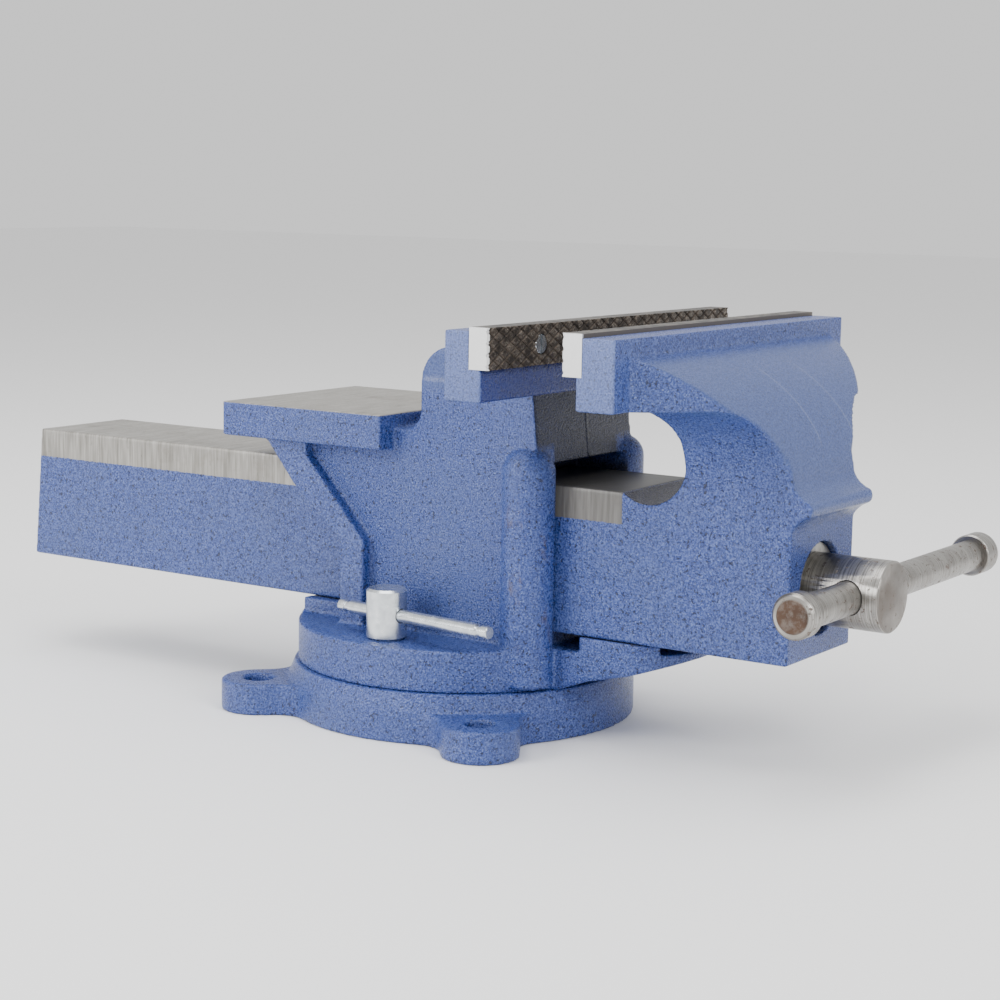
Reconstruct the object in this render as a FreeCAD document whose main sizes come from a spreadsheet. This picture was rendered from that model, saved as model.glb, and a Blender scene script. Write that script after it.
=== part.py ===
"""Eight-inch bench vise on a swivel base, with an anvil, two jaws and a sliding T-handle.

Frame: +Z up, origin on the swivel axis at the underside of the base.
X runs along the jaws, -Y points to the handle, +Y to the anvil. Millimetres.
"""
import FreeCAD, Part
import math
import os
import Sketcher

DIMENSIONS = {
    # jaws
    "jaw_width": 200.0,
    "jaw_top": 183.4,
    "jaw_gap": 34.2,
    "fixed_face": 81.1,          # swivel axis to the working face of the fixed insert
    "insert_tall": 17.0,
    "insert_thick": 9.4,
    "insert_chamfer": 0.8,
    "insert_proud": 1.6,         # insert stands above its casting
    "head_bottom": 153.0,
    "fixed_head_thick": 12.4,
    "moving_head_thick": 14.7,
    "fixed_ledge": 5.5,          # casting under the insert reaches past the insert's back
    "moving_ledge": 2.4,
    # jaw insert screws
    "screw_spacing": 122.0,
    "screw_rise": 8.6,           # above the insert's lower edge
    "screw_head_dia": 8.4,
    "screw_head_tall": 4.0,
    "screw_dia": 6.0,
    "screw_length": 16.0,
    "screw_sunk": 0.3,
    "screw_slot_width": 1.2,
    "screw_slot_depth": 1.4,
    "small_edge": 0.3,
    # slide
    "slide_width": 58.6,
    "slide_top": 112.0,
    "slide_bottom": 47.3,
    "slide_rear": 242.8,
    "slide_draft": 5.6,
    "slide_nose": 66.3,          # moving insert's face to the front wall
    "front_wall": 14.0,
    "channel_room": 5.5,         # between the spindle and each side of its channel
    "channel_roof": 14.0,
    "guide_clearance": 0.15,
    # neck and brow of the moving jaw
    "neck_fillet": 36.0,
    "brow_inset": 12.0,          # brow starts this far in from each end of the jaw
    "brow_plan_radius": 87.5,
    "brow_front_step": 2.6,      # brow's side ends this far behind the front wall
    "lip_tall": 7.4,             # flat lip above the brow
    "brow_radius": 66.8,
    "throat_radius": 18.4,
    "throat_drop": 57.4,         # jaw top to the throat's centre
    "throat_setback": 1.3,       # throat's centre behind the moving insert's face
    "throat_rise": 8.2,          # straight part of the throat's wall above its centre
    "band_top": 121.5,
    "band_bottom": 103.0,
    "band_proud": 7.2,
    "band_crest": 6.0,
    "band_cove": 12.0,
    "band_crest_radius": 3.6,
    # body casting
    "body_wall": 9.9,
    "body_front": 66.0,
    "body_lean": 3.5,            # front edge leans back above the guide's mouth
    "neck_rear": 3.4,
    "neck_rear_fillet": 9.0,
    "neck_thick_top": 147.0,
    "brace_inset": 0.5,          # brace is this much narrower than the panels on each side
    "brace_corner": 8.0,         # straight part of the brace's back above its foot
    "brace_corner_radius": 16.0,
    "brace_shoulder_back": 12.1,
    "brace_shoulder_drop": 13.2,
    "brace_back_radius": 120.0,
    "brace_top_drop": 5.0,
    "shoulder_height": 131.0,
    "rib_proud": 6.0,
    "rib_width": 13.4,
    "rib_rear": 36.8,
    "rib_bend": 78.8,
    "rib_top_inset": 21.0,       # rib's upper corners from the anvil's rear end and underside
    "rib_knee_inset": 38.2,
    "rib_knee_drop": 19.8,
    "rib_front_inset": 45.7,
    "rib_front_drop": 5.9,
    "rib_front_rise": 0.6,
    "pillar_radius": 11.5,
    "pillar_spread": 74.4,
    "pillar_back": 60.2,
    "pillar_top": 127.5,
    "pillar_foot": 24.5,
    "pillar_flat": 1.5,
    "mouth_top": 120.5,
    "mouth_depth": 24.0,
    "anvil_width": 99.4,
    "anvil_start": 10.9,
    "anvil_end": 102.4,
    "anvil_top": 137.7,
    "anvil_thick": 15.8,
    "bench_pad_rear": 66.0,
    "bench_pad_width": 70.0,
    "cradle_reach": 127.5,
    "cradle_width": 62.0,
    "cradle_round": 34.0,
    "cradle_shoulder": 20.0,     # rounded part of the nose, along Y
    "cradle_root": 4.0,          # nose starts this far inside the body's front
    "cradle_run_out": 7.0,       # its rising underside starts this far behind that
    "cradle_slot_width": 17.0,
    "cradle_slot_depth": 6.8,
    "gutter_width": 44.0,
    "gutter_depth": 4.7,
    # swivel
    "turntable_radius": 75.5,
    "turntable_top": 40.5,
    "base_height": 22.0,
    "base_radius": 80.1,
    "base_top_radius": 77.0,
    "base_flange": 10.0,
    "base_wall": 6.6,
    "spigot_radius": 67.0,
    "spigot_drop": 8.0,
    "swivel_clearance": 0.1,
    "lug_height": 13.9,
    "lug_reach": 93.8,
    "lug_end_radius": 17.0,
    "lug_web_radius": 14.0,
    "lug_hole_dia": 13.7,
    "rear_left_lug": 132.75,     # degrees from +X
    "front_left_lug": 220.1,
    "right_lug": 356.4,
    "clamp_plate_thick": 8.0,
    "clamp_plate_grip": 5.5,
    # lock screws
    "lock_reach": 58.0,
    "lock_head_dia": 18.0,
    "lock_head_tall": 22.5,
    "lock_edge": 1.0,
    "lock_bar_height": 11.0,
    "lock_dia": 12.0,
    "lock_hole_play": 0.5,
    "lock_bar_dia": 6.0,
    "lock_bar_play": 0.3,
    "lock_bar_length": 88.0,
    "lock_bar_neck": 4.6,
    "lock_bar_tip": 5.6,
    "lock_bar_tip_length": 4.0,
    "lock_bar_neck_length": 2.0,
    "lock_bar_short_arm": 28.0,
    "lock_bar_angle": 6.3,       # degrees outward from the slide, long arm to the front
    # spindle
    "spindle_height": 75.9,
    "spindle_dia": 24.0,
    "spindle_head_dia": 30.0,
    "spindle_head_reach": 32.5,   # head stands out of the front wall
    "spindle_rear": 158.0,
    "spindle_edge": 1.0,
    "spindle_point": 3.0,
    "wall_hole_dia": 39.0,
    "wall_hole_depth": 6.0,
    "thrust_washer_thick": 3.0,
    "running_clearance": 0.06,
    "spring_wire": 3.0,
    "spring_length": 15.0,
    "spring_turns": 3.0,
    "spring_gap": 0.4,           # room around the spindle and along the wall
    "washer_play": 0.5,
    "collar_play": 1.0,
    "collar_thick": 3.0,
    "cotter_dia": 4.0,
    "cotter_proud": 3.0,
    # handle
    "handle_setback": 14.4,       # bar's axis behind the spindle's end
    "handle_dia": 14.0,
    "handle_length": 191.0,
    "handle_near": 63.0,
    "handle_play": 0.4,
    "knob_dia": 18.8,
    "knob_length": 13.0,
    "knob_taper": 5.0,
    "handle_edge": 0.6,
    # nut
    "nut_length": 52.0,
    "nut_front": 62.0,
    "nut_width": 32.0,
    "nut_top": 95.0,
    "nut_bolt_dia": 10.0,
    "nut_bolt_head": 17.0,
    "nut_bolt_head_tall": 6.4,
    "nut_bolt_room": 3.0,
    "nut_bolt_depth": 4.0,       # bolt ends this far below the spindle
    "nut_chamfer": 3.0,
    "bore_runout": 1.0,          # drilled holes end this far beyond what goes into them
}
BITE = 1.0      # joined features reach this far into each other, cuts this far past the surface
NOSE_LIFT = (0.24, 0.435, 0.69)     # shares of the nose's thickness that its underside rises by
NEAR = 0.25
SIDES = ((-1, "left"), (1, "right"))


def number(size):
    return size.value if isinstance(size, Size) else float(size)


def words(size):
    return size.text if isinstance(size, Size) else repr(float(size))


class Size:
    """A length together with the sheet expression that gives it."""

    def __init__(self, value, text):
        self.value = value
        self.text = text

    def __add__(self, other):
        return Size(self.value + number(other), f"({self.text} + {words(other)})")

    def __radd__(self, other):
        return Size(number(other) + self.value, f"({words(other)} + {self.text})")

    def __sub__(self, other):
        return Size(self.value - number(other), f"({self.text} - {words(other)})")

    def __rsub__(self, other):
        return Size(number(other) - self.value, f"({words(other)} - {self.text})")

    def __mul__(self, other):
        return Size(self.value * number(other), f"({self.text} * {words(other)})")

    def __rmul__(self, other):
        return self * other

    def __truediv__(self, other):
        return Size(self.value / number(other), f"({self.text} / {words(other)})")

    def __neg__(self):
        return Size(-self.value, f"(0 - {self.text})")


class Sizes:
    """One attribute for each cell of the sheet."""


doc = FreeCAD.newDocument("bench_vise")
sheet = doc.addObject("Spreadsheet::Sheet", "sizes")
d = Sizes()
for row, (alias, amount) in enumerate(DIMENSIONS.items(), start=1):
    sheet.set(f"A{row}", alias)
    sheet.set(f"B{row}", str(amount))
    sheet.setAlias(f"B{row}", alias)
    setattr(d, alias, Size(amount, f"sizes.{alias}"))
doc.recompute()

# Places worked out from the sheet.
half_jaw = d.jaw_width / 2
half_slide = d.slide_width / 2
moving_face = -d.fixed_face - d.jaw_gap
fixed_seat = -d.fixed_face + d.insert_thick
moving_seat = moving_face - d.insert_thick
casting_top = d.jaw_top - d.insert_proud
brow_top = casting_top - d.lip_tall
insert_bottom = d.jaw_top - d.insert_tall
front_face = moving_face - d.slide_nose
brow_face = moving_seat - d.moving_head_thick
throat_y = moving_face + d.throat_setback
throat_z = d.jaw_top - d.throat_drop
panel = half_slide + d.body_wall
rib_face = panel + d.rib_proud
anvil_bottom = d.anvil_top - d.anvil_thick
spigot_bottom = d.base_height - d.spigot_drop
flange_bottom = d.base_height - d.base_flange
spindle_end = front_face - d.spindle_head_reach
shoulder = front_face + d.wall_hole_depth - d.thrust_washer_thick
wall_inside = front_face + d.front_wall
handle_y = spindle_end + d.handle_setback
bar_height = d.turntable_top + d.lock_bar_height
collar_y = wall_inside + d.spring_length
cotter_y = collar_y + d.collar_thick + d.cotter_dia / 2
nut_middle = d.nut_length / 2 - d.nut_front
insert_hole_depth = d.screw_length - d.insert_thick + d.bore_runout
spindle_bore = d.spindle_dia / 2 + d.running_clearance
channel_width = d.spindle_dia + 2 * d.channel_room
nut_bolt_end = d.spindle_height - d.spindle_dia / 2 - d.nut_bolt_depth
PLANES = {"top": "XY_Plane", "front": "XZ_Plane", "side": "YZ_Plane"}


def set_size(thing, name, size):
    """Give a property its number and, where it has one, its sheet expression."""
    if "." not in name:
        setattr(thing, name, number(size))
    if isinstance(size, Size):
        thing.setExpression(name, size.text)


def new_body(name):
    body = doc.addObject("PartDesign::Body", name)
    body.Label = name
    return body


def place(thing, x=0, y=0, z=0, rotation=None):
    """Put a finished sub-part at its place, bound to the sheet."""
    rotation = rotation or FreeCAD.Rotation()
    thing.Placement = FreeCAD.Placement(FreeCAD.Vector(number(x), number(y), number(z)), rotation)
    for axis, size in (("x", x), ("y", y), ("z", z)):
        if isinstance(size, Size):
            thing.setExpression(f"Placement.Base.{axis}", size.text)


def new_sketch(body, name, view, offset=0, aside=0):
    """Sketch on one of the body's origin planes, moved along its normal and along its own u."""
    sketch = body.newObject("Sketcher::SketchObject", name)
    roles = {feature.Role: feature for feature in body.Origin.OriginFeatures}
    sketch.AttachmentSupport = (roles[PLANES[view]], [""])
    sketch.MapMode = "FlatFace"
    shift = -offset if view == "front" else offset
    corner = FreeCAD.Vector(number(aside), 0, number(shift))
    sketch.AttachmentOffset = FreeCAD.Placement(corner, FreeCAD.Rotation())
    for axis, size in (("x", aside), ("z", shift)):
        if isinstance(size, Size):
            sketch.setExpression(f"AttachmentOffset.Base.{axis}", size.text)
    return sketch


def pin_point(sketch, edge, end, u, v):
    """Hold one end of an edge at (u, v) from the sketch's origin."""
    for kind, size, line in (("DistanceX", u, -2), ("DistanceY", v, -1)):
        if abs(number(size)) < 1e-9 and not isinstance(size, Size):
            sketch.addConstraint(Sketcher.Constraint("PointOnObject", edge, end, line))
            continue
        index = sketch.addConstraint(Sketcher.Constraint(kind, -1, 1, edge, end, number(size)))
        if isinstance(size, Size):
            sketch.setExpression(f"Constraints[{index}]", size.text)


def arc_between(start, finish, radius, side):
    """Minor arc from start to finish; side 1 has its centre on the left of the way, -1 on the right."""
    chord = finish - start
    rise = math.sqrt(max(radius ** 2 - (chord.Length / 2) ** 2, 0.0))
    left = FreeCAD.Vector(-chord.y, chord.x, 0).normalize()
    centre = (start + finish) * 0.5 + left * (side * rise)
    first, last = (start, finish) if side > 0 else (finish, start)
    begin = math.atan2(first.y - centre.y, first.x - centre.x)
    end = math.atan2(last.y - centre.y, last.x - centre.x)
    if end < begin:
        end += 2 * math.pi
    return Part.ArcOfCircle(Part.Circle(centre, FreeCAD.Vector(0, 0, 1), radius), begin, end)


def draw_outline(sketch, corners):
    """Closed outline. A corner is (u, v), or (u, v, radius, side) where an arc leaves it."""
    ends = []
    for here, there in zip(corners, corners[1:] + corners[:1]):
        start = FreeCAD.Vector(number(here[0]), number(here[1]), 0)
        finish = FreeCAD.Vector(number(there[0]), number(there[1]), 0)
        if len(here) == 2:
            edge = sketch.addGeometry(Part.LineSegment(start, finish))
            ends.append((edge, 1, 2))
            continue
        edge = sketch.addGeometry(arc_between(start, finish, number(here[2]), here[3]))
        ends.append((edge, 1, 2) if here[3] > 0 else (edge, 2, 1))
        index = sketch.addConstraint(Sketcher.Constraint("Radius", edge, number(here[2])))
        if isinstance(here[2], Size):
            sketch.setExpression(f"Constraints[{index}]", here[2].text)
    for (edge, _, last), (after, first, _) in zip(ends, ends[1:] + ends[:1]):
        sketch.addConstraint(Sketcher.Constraint("Coincident", edge, last, after, first))
    for (edge, first, _), corner in zip(ends, corners):
        pin_point(sketch, edge, first, corner[0], corner[1])
    return sketch


def draw_circle(sketch, u, v, radius):
    centre = FreeCAD.Vector(number(u), number(v), 0)
    edge = sketch.addGeometry(Part.Circle(centre, FreeCAD.Vector(0, 0, 1), number(radius)))
    pin_point(sketch, edge, 3, u, v)
    index = sketch.addConstraint(Sketcher.Constraint("Radius", edge, number(radius)))
    if isinstance(radius, Size):
        sketch.setExpression(f"Constraints[{index}]", radius.text)
    return sketch


def draw_box(sketch, left, right, low, high):
    return draw_outline(sketch, [(left, low), (right, low), (right, high), (left, high)])


def solid_after(feature):
    """Recompute, and stop where the feature has failed."""
    doc.recompute()
    if feature.Shape.isNull() or not feature.Shape.isValid() or "Invalid" in feature.State:
        raise RuntimeError(f"{feature.Name} has no valid shape: {feature.State}")
    return feature


def pad(body, sketch, length, both_ways=False):
    """Thicken a sketch along its normal, or equally to both sides."""
    feature = body.newObject("PartDesign::Pad", f"{sketch.Name}_pad")
    feature.Profile = sketch
    feature.SideType = "Symmetric" if both_ways else "One side"
    set_size(feature, "Length", length)
    return solid_after(feature)


def pocket(body, sketch, length, both_ways=False):
    """Cut a sketch along its normal, or equally to both sides, and make sure that it cuts."""
    before = body.Shape.Volume
    feature = body.newObject("PartDesign::Pocket", f"{sketch.Name}_cut")
    feature.Profile = sketch
    feature.SideType = "Symmetric" if both_ways else "One side"
    feature.Reversed = not both_ways
    set_size(feature, "Length", length)
    solid_after(feature)
    if not body.Shape.Volume < before - 1e-3:
        raise RuntimeError(f"{feature.Name} removes nothing")
    return feature


def revolve(body, sketch):
    """Turn a sketch about its own vertical axis."""
    feature = body.newObject("PartDesign::Revolution", f"{sketch.Name}_turned")
    feature.Profile = sketch
    feature.ReferenceAxis = (sketch, ["V_Axis"])
    feature.Angle = 360.0
    return solid_after(feature)


def finish_edges(body, name, size, chosen, kind="Fillet"):
    """Fillet or chamfer the edges of the body that the rule picks."""
    tip = body.Tip
    names = [f"Edge{i}" for i, edge in enumerate(tip.Shape.Edges, start=1) if chosen(edge)]
    if not names:
        raise RuntimeError(f"{name}: no edge matches")
    feature = body.newObject(f"PartDesign::{kind}", name)
    feature.Base = (tip, names)
    set_size(feature, "Radius" if kind == "Fillet" else "Size", size)
    return solid_after(feature)


def along(edge, axis):
    """True for a straight edge that runs along x, y or z."""
    if not isinstance(edge.Curve, Part.Line):
        return False
    return abs(getattr(edge.Curve.Direction, axis)) > 0.999


def near(edge, **place_of):
    """True where the edge's middle has the given coordinates."""
    middle = edge.valueAt((edge.FirstParameter + edge.LastParameter) / 2)
    return all(abs(getattr(middle, axis) - number(size)) < NEAR for axis, size in place_of.items())


def turned(name, profile, x=0, y=0, z=0, rotation=None):
    """Body of revolution about its own Z, from (radius, height) corners."""
    body = new_body(name)
    revolve(body, draw_outline(new_sketch(body, f"{name}_profile", "front"), profile))
    place(body, x, y, z, rotation)
    return body


TO_REAR = FreeCAD.Rotation(FreeCAD.Vector(1, 0, 0), -90)    # own Z to +Y
TO_RIGHT = FreeCAD.Rotation(FreeCAD.Vector(0, 1, 0), 90)    # own Z to +X
UP = FreeCAD.Vector(0, 0, 1)
TO_FRONT = -90.0    # degrees from +X


def make_base_ring():
    """Cast ring that bolts to the bench, hollow below, with three lugs."""
    body = new_body("base_ring")
    inside = d.base_radius - d.base_wall
    wall = draw_outline(new_sketch(body, "ring_section", "front"), [
        (d.spigot_radius + d.swivel_clearance, d.base_height),
        (d.spigot_radius + d.swivel_clearance, flange_bottom),
        (inside, flange_bottom),
        (inside, 0),
        (d.base_radius, 0),
        (d.base_radius, d.lug_height),
        (d.base_top_radius, d.base_height)])
    revolve(body, wall)
    for name in ("rear_left_lug", "front_left_lug", "right_lug"):
        add_lug(body, name, math.radians(DIMENSIONS[name]))
    radius = number(d.base_radius)

    def joins_ring(edge):
        middle = edge.CenterOfMass
        return along(edge, "z") and abs(math.hypot(middle.x, middle.y) - radius) < NEAR

    finish_edges(body, "lug_webs", d.lug_web_radius, joins_ring)
    return body


def add_lug(body, name, angle):
    """Rounded ear with a bench bolt hole, pointing away from the swivel axis."""
    away = (math.cos(angle), math.sin(angle))
    across = (-away[1], away[0])
    inner = d.base_radius - d.base_wall / 2

    def spot(reach, aside):
        return (reach * away[0] + aside * across[0], reach * away[1] + aside * across[1])

    round_end = d.lug_end_radius
    right = spot(inner, -round_end)
    right_end = spot(d.lug_reach, -round_end)
    tip = spot(d.lug_reach + round_end, 0)
    left_end = spot(d.lug_reach, round_end)
    left = spot(inner, round_end)
    outline = [right, (*right_end, round_end, 1), (*tip, round_end, 1), left_end, left]
    pad(body, draw_outline(new_sketch(body, name, "top"), outline), d.lug_height)
    hole = draw_circle(new_sketch(body, f"{name}_hole", "top"), *spot(d.lug_reach, 0), d.lug_hole_dia / 2)
    pocket(body, hole, d.lug_height)


def make_clamp_plate():
    """Plate under the ring's flange that the two lock screws pull up."""
    body = new_body("swivel_clamp_plate")
    radius = d.spigot_radius + d.clamp_plate_grip
    low = flange_bottom - d.guide_clearance - d.clamp_plate_thick
    pad(body, draw_circle(new_sketch(body, "clamp_disc", "top", low), 0, 0, radius), d.clamp_plate_thick)
    for side, word in SIDES:
        hole = draw_circle(new_sketch(body, f"clamp_thread_{word}", "top", low), side * d.lock_reach, 0,
                           d.lock_dia / 2 + d.running_clearance)
        pocket(body, hole, d.clamp_plate_thick)
    window = draw_circle(new_sketch(body, "clamp_window", "top", low), 0, 0, d.spigot_radius / 2)
    pocket(body, window, d.clamp_plate_thick)
    return body


def make_body_casting():
    """Fixed jaw, anvil, slide guide and turntable in one casting."""
    body = new_body("body_casting")
    pad(body, draw_circle(new_sketch(body, "turntable", "top", d.base_height), 0, 0, d.turntable_radius),
        d.turntable_top - d.base_height)
    pad(body, draw_circle(new_sketch(body, "spigot", "top", spigot_bottom), 0, 0, d.spigot_radius),
        d.spigot_drop)
    add_body_block(body)
    add_fixed_head(body)
    add_anvil(body)
    add_cradle(body)
    cut_guide(body)
    cut_body_holes(body)
    return body


def add_body_block(body):
    """Side panels with the border rib behind them and the two round pillars in front."""
    front = -d.body_front
    top = d.head_bottom + BITE
    bend = (d.rib_rear, d.rib_bend)
    knee = (d.anvil_end - d.rib_knee_inset, anvil_bottom - d.rib_knee_drop)
    rear_top = (d.anvil_end - d.rib_top_inset, anvil_bottom + BITE)
    front_top = d.anvil_end - d.rib_front_inset
    fillet = d.neck_rear_fillet
    block = [(front, d.base_height), (front, d.mouth_top), (front + d.body_lean, top), (-d.neck_rear, top),
             (-d.neck_rear, d.shoulder_height + fillet, fillet, 1),
             (fillet - d.neck_rear, d.shoulder_height), (front_top, d.shoulder_height), rear_top, knee,
             bend, (d.rib_rear, d.base_height)]
    pad(body, draw_outline(new_sketch(body, "panels", "side"), block), 2 * panel, both_ways=True)
    rib_front = d.rib_rear - d.rib_width
    rib_foot = d.turntable_top - BITE
    rib = [(d.rib_rear, rib_foot), bend, knee, rear_top, (front_top, anvil_bottom + BITE),
           (front_top, anvil_bottom - d.rib_front_drop), (rib_front, d.rib_bend + d.rib_front_rise),
           (rib_front, rib_foot)]
    pad(body, draw_outline(new_sketch(body, "border_rib", "side"), rib), 2 * rib_face, both_ways=True)
    dome = d.pillar_radius - d.pillar_flat
    profile = [(0, d.pillar_foot), (d.pillar_radius, d.pillar_foot),
               (d.pillar_radius, d.pillar_top - dome, dome, 1), (d.pillar_flat, d.pillar_top),
               (0, d.pillar_top)]
    for side, word in SIDES:
        pillar = new_sketch(body, f"pillar_{word}", "front", -d.pillar_back, side * d.pillar_spread / 2)
        revolve(body, draw_outline(pillar, profile))
    half_pad = d.bench_pad_width / 2
    bench_pad = new_sketch(body, "rear_pad", "top", rib_foot)
    draw_box(bench_pad, -half_pad, half_pad, rib_front, d.bench_pad_rear)
    pad(body, bench_pad, d.slide_bottom - rib_foot)


def add_fixed_head(body):
    """Fixed jaw with its insert seat, and the rounded back that braces it."""
    back = fixed_seat + d.fixed_head_thick
    ledge = fixed_seat - d.fixed_ledge
    head = [(ledge, d.head_bottom), (back, d.head_bottom), (back, casting_top), (fixed_seat, casting_top),
            (fixed_seat, insert_bottom), (ledge, insert_bottom)]
    pad(body, draw_outline(new_sketch(body, "fixed_head", "side"), head), d.jaw_width, both_ways=True)
    rear = -d.neck_rear
    brace = [(back - BITE, d.neck_thick_top), (rear, d.neck_thick_top),
             (rear, d.neck_thick_top + d.brace_corner, d.brace_corner_radius, 1),
             (rear - d.brace_shoulder_back, casting_top - d.brace_shoulder_drop, d.brace_back_radius, 1),
             (back - BITE, casting_top - d.brace_top_drop)]
    pad(body, draw_outline(new_sketch(body, "brace", "side"), brace), 2 * (panel - d.brace_inset),
        both_ways=True)


def add_anvil(body):
    anvil = new_sketch(body, "anvil", "top", anvil_bottom)
    draw_box(anvil, -d.anvil_width / 2, d.anvil_width / 2, d.anvil_start, d.anvil_end)
    pad(body, anvil, d.anvil_thick)


def add_cradle(body):
    """Nose under the slide, rounded in plan, its underside rising to the front."""
    half = d.cradle_width / 2
    root = d.cradle_root - d.body_front
    tip = -d.cradle_reach
    round_start = tip + d.cradle_shoulder
    plan = [(-half, root), (-half, round_start, d.cradle_round, 1), (0, tip, d.cradle_round, 1),
            (half, round_start), (half, root)]
    pad(body, draw_outline(new_sketch(body, "cradle", "top", d.base_height), plan),
        d.slide_bottom - d.base_height)
    thick = d.slide_bottom - d.base_height
    below = d.base_height - BITE
    inner, shoulder, outer = (d.base_height + share * thick for share in NOSE_LIFT)
    under = [(root - d.cradle_run_out, below), (tip - BITE, below), (tip - BITE, outer),
             (round_start, shoulder), (round_start + d.cradle_shoulder, inner)]
    pocket(body, draw_outline(new_sketch(body, "cradle_underside", "side"), under), 2 * d.cradle_width,
           both_ways=True)


def cut_guide(body):
    """Square tunnel for the slide, with a taller mouth at the front and relief grooves in the nose."""
    low = d.slide_bottom - d.guide_clearance
    high = d.slide_top + d.guide_clearance
    half = half_slide + d.guide_clearance
    start = -d.cradle_reach - BITE
    end = d.anvil_end + BITE
    tunnel = draw_box(new_sketch(body, "tunnel", "front", end), -half, half, low, high)
    pocket(body, tunnel, end - start)
    mouth = draw_box(new_sketch(body, "mouth", "side"), start, -d.body_front + d.mouth_depth,
                     high - BITE, d.mouth_top)
    pocket(body, mouth, 2 * half, both_ways=True)
    slot = draw_box(new_sketch(body, "cradle_slot", "side"), -d.body_front - d.cradle_slot_width,
                    -d.body_front, low - d.cradle_slot_depth, low + BITE)
    pocket(body, slot, d.cradle_width + 2 * BITE, both_ways=True)
    gutter = draw_box(new_sketch(body, "cradle_gutter", "side"), start, -d.body_front,
                      low - d.gutter_depth, low + BITE)
    pocket(body, gutter, d.gutter_width, both_ways=True)


def cut_body_holes(body):
    """Holes for the lock screws, the nut's bolt and the insert's screws."""
    for side, word in SIDES:
        hole = draw_circle(new_sketch(body, f"lock_hole_{word}", "top", spigot_bottom),
                           side * d.lock_reach, 0, d.lock_dia / 2 + d.lock_hole_play)
        pocket(body, hole, d.turntable_top - spigot_bottom)
        tapped = draw_circle(new_sketch(body, f"insert_hole_{word}", "front", fixed_seat + insert_hole_depth),
                             side * d.screw_spacing / 2, insert_bottom + d.screw_rise,
                             d.screw_dia / 2 + d.running_clearance)
        pocket(body, tapped, insert_hole_depth + BITE)
    bolt = draw_circle(new_sketch(body, "nut_bolt_hole", "top", spigot_bottom), 0, nut_middle,
                       d.nut_bolt_dia / 2 + d.lock_hole_play)
    pocket(body, bolt, d.slide_bottom - spigot_bottom)
    recess = draw_circle(new_sketch(body, "nut_bolt_recess", "top", spigot_bottom), 0, nut_middle,
                         d.nut_bolt_head / 2 + d.nut_bolt_room)
    pocket(body, recess, d.base_height - spigot_bottom)


def make_moving_jaw():
    """Moving jaw, its neck and the hollow square slide in one casting."""
    body = new_body("moving_jaw_casting")
    beam = [(front_face, d.slide_bottom), (d.slide_rear + d.slide_draft, d.slide_bottom),
            (d.slide_rear, d.slide_top), (front_face, d.slide_top)]
    pad(body, draw_outline(new_sketch(body, "slide", "side"), beam), d.slide_width, both_ways=True)
    add_neck(body)
    add_moving_head(body)
    shape_brow(body)
    add_band(body)
    cut_throat(body)
    cut_channel(body)
    return body


def add_neck(body):
    """Neck that flares from the slide's width to the underside of the jaw."""
    low = d.head_bottom - d.neck_fillet
    root = d.slide_top - BITE
    top = d.head_bottom + BITE
    wide = half_slide + d.neck_fillet
    flare = [(-half_slide, root), (half_slide, root), (half_slide, low, d.neck_fillet, -1),
             (wide, d.head_bottom), (wide, top), (-wide, top), (-wide, d.head_bottom, d.neck_fillet, -1),
             (-half_slide, low)]
    rear = moving_seat + d.moving_ledge
    pad(body, draw_outline(new_sketch(body, "neck", "front", rear), flare), rear - front_face)


def add_moving_head(body):
    """Jaw block with its insert seat, and the block that the brow is cut from."""
    ledge = moving_seat + d.moving_ledge
    head = [(brow_face, d.head_bottom), (ledge, d.head_bottom), (ledge, insert_bottom),
            (moving_seat, insert_bottom), (moving_seat, casting_top), (brow_face, casting_top)]
    pad(body, draw_outline(new_sketch(body, "moving_head", "side"), head), d.jaw_width, both_ways=True)
    half = half_jaw - d.brow_inset
    brow = draw_box(new_sketch(body, "brow", "top", d.head_bottom), -half, half, front_face,
                    brow_face + BITE)
    pad(body, brow, brow_top - d.head_bottom)


def shape_brow(body):
    """Cut the brow round from the lip down to the band, and its two sides round in plan."""
    clear = front_face - d.band_proud
    sweep = [(brow_face, brow_top, d.brow_radius, 1), (front_face, d.band_top), (clear, d.band_top),
             (clear, brow_top + BITE), (brow_face, brow_top + BITE)]
    pocket(body, draw_outline(new_sketch(body, "brow_curve", "side"), sweep), 2 * d.jaw_width,
           both_ways=True)
    low = d.slide_top
    start = half_jaw - d.brow_inset
    foot = front_face + d.brow_front_step
    for side, word in SIDES:
        plan = [(side * start, brow_face, d.brow_plan_radius, side * -1), (side * half_slide, foot),
                (side * half_slide, clear), (side * start, clear)]
        pocket(body, draw_outline(new_sketch(body, f"brow_side_{word}", "top", low), plan),
               brow_top + BITE - low)


def add_band(body):
    """Moulding across the front, above the spindle."""
    crest = front_face - d.band_proud
    middle = (d.band_top + d.band_bottom) / 2
    root = front_face + d.front_wall / 2
    outline = [(root, d.band_top), (front_face, d.band_top, d.band_cove, -1),
               (crest, middle + d.band_crest / 2, d.band_crest_radius, 1),
               (crest, middle - d.band_crest / 2, d.band_cove, -1), (front_face, d.band_bottom),
               (root, d.band_bottom)]
    pad(body, draw_outline(new_sketch(body, "band", "side"), outline), d.slide_width, both_ways=True)


def cut_throat(body):
    """Throat behind the neck, round at both ends and sunk a little into the slide's top."""
    radius = d.throat_radius
    upper = throat_z + d.throat_rise
    outline = [(throat_y + radius, throat_z), (throat_y + radius, upper, radius, 1),
               (throat_y, upper + radius, radius, 1), (throat_y - radius, upper),
               (throat_y - radius, throat_z, radius, 1), (throat_y, throat_z - radius, radius, 1)]
    pocket(body, draw_outline(new_sketch(body, "throat", "side"), outline), 2 * d.jaw_width,
           both_ways=True)


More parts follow.
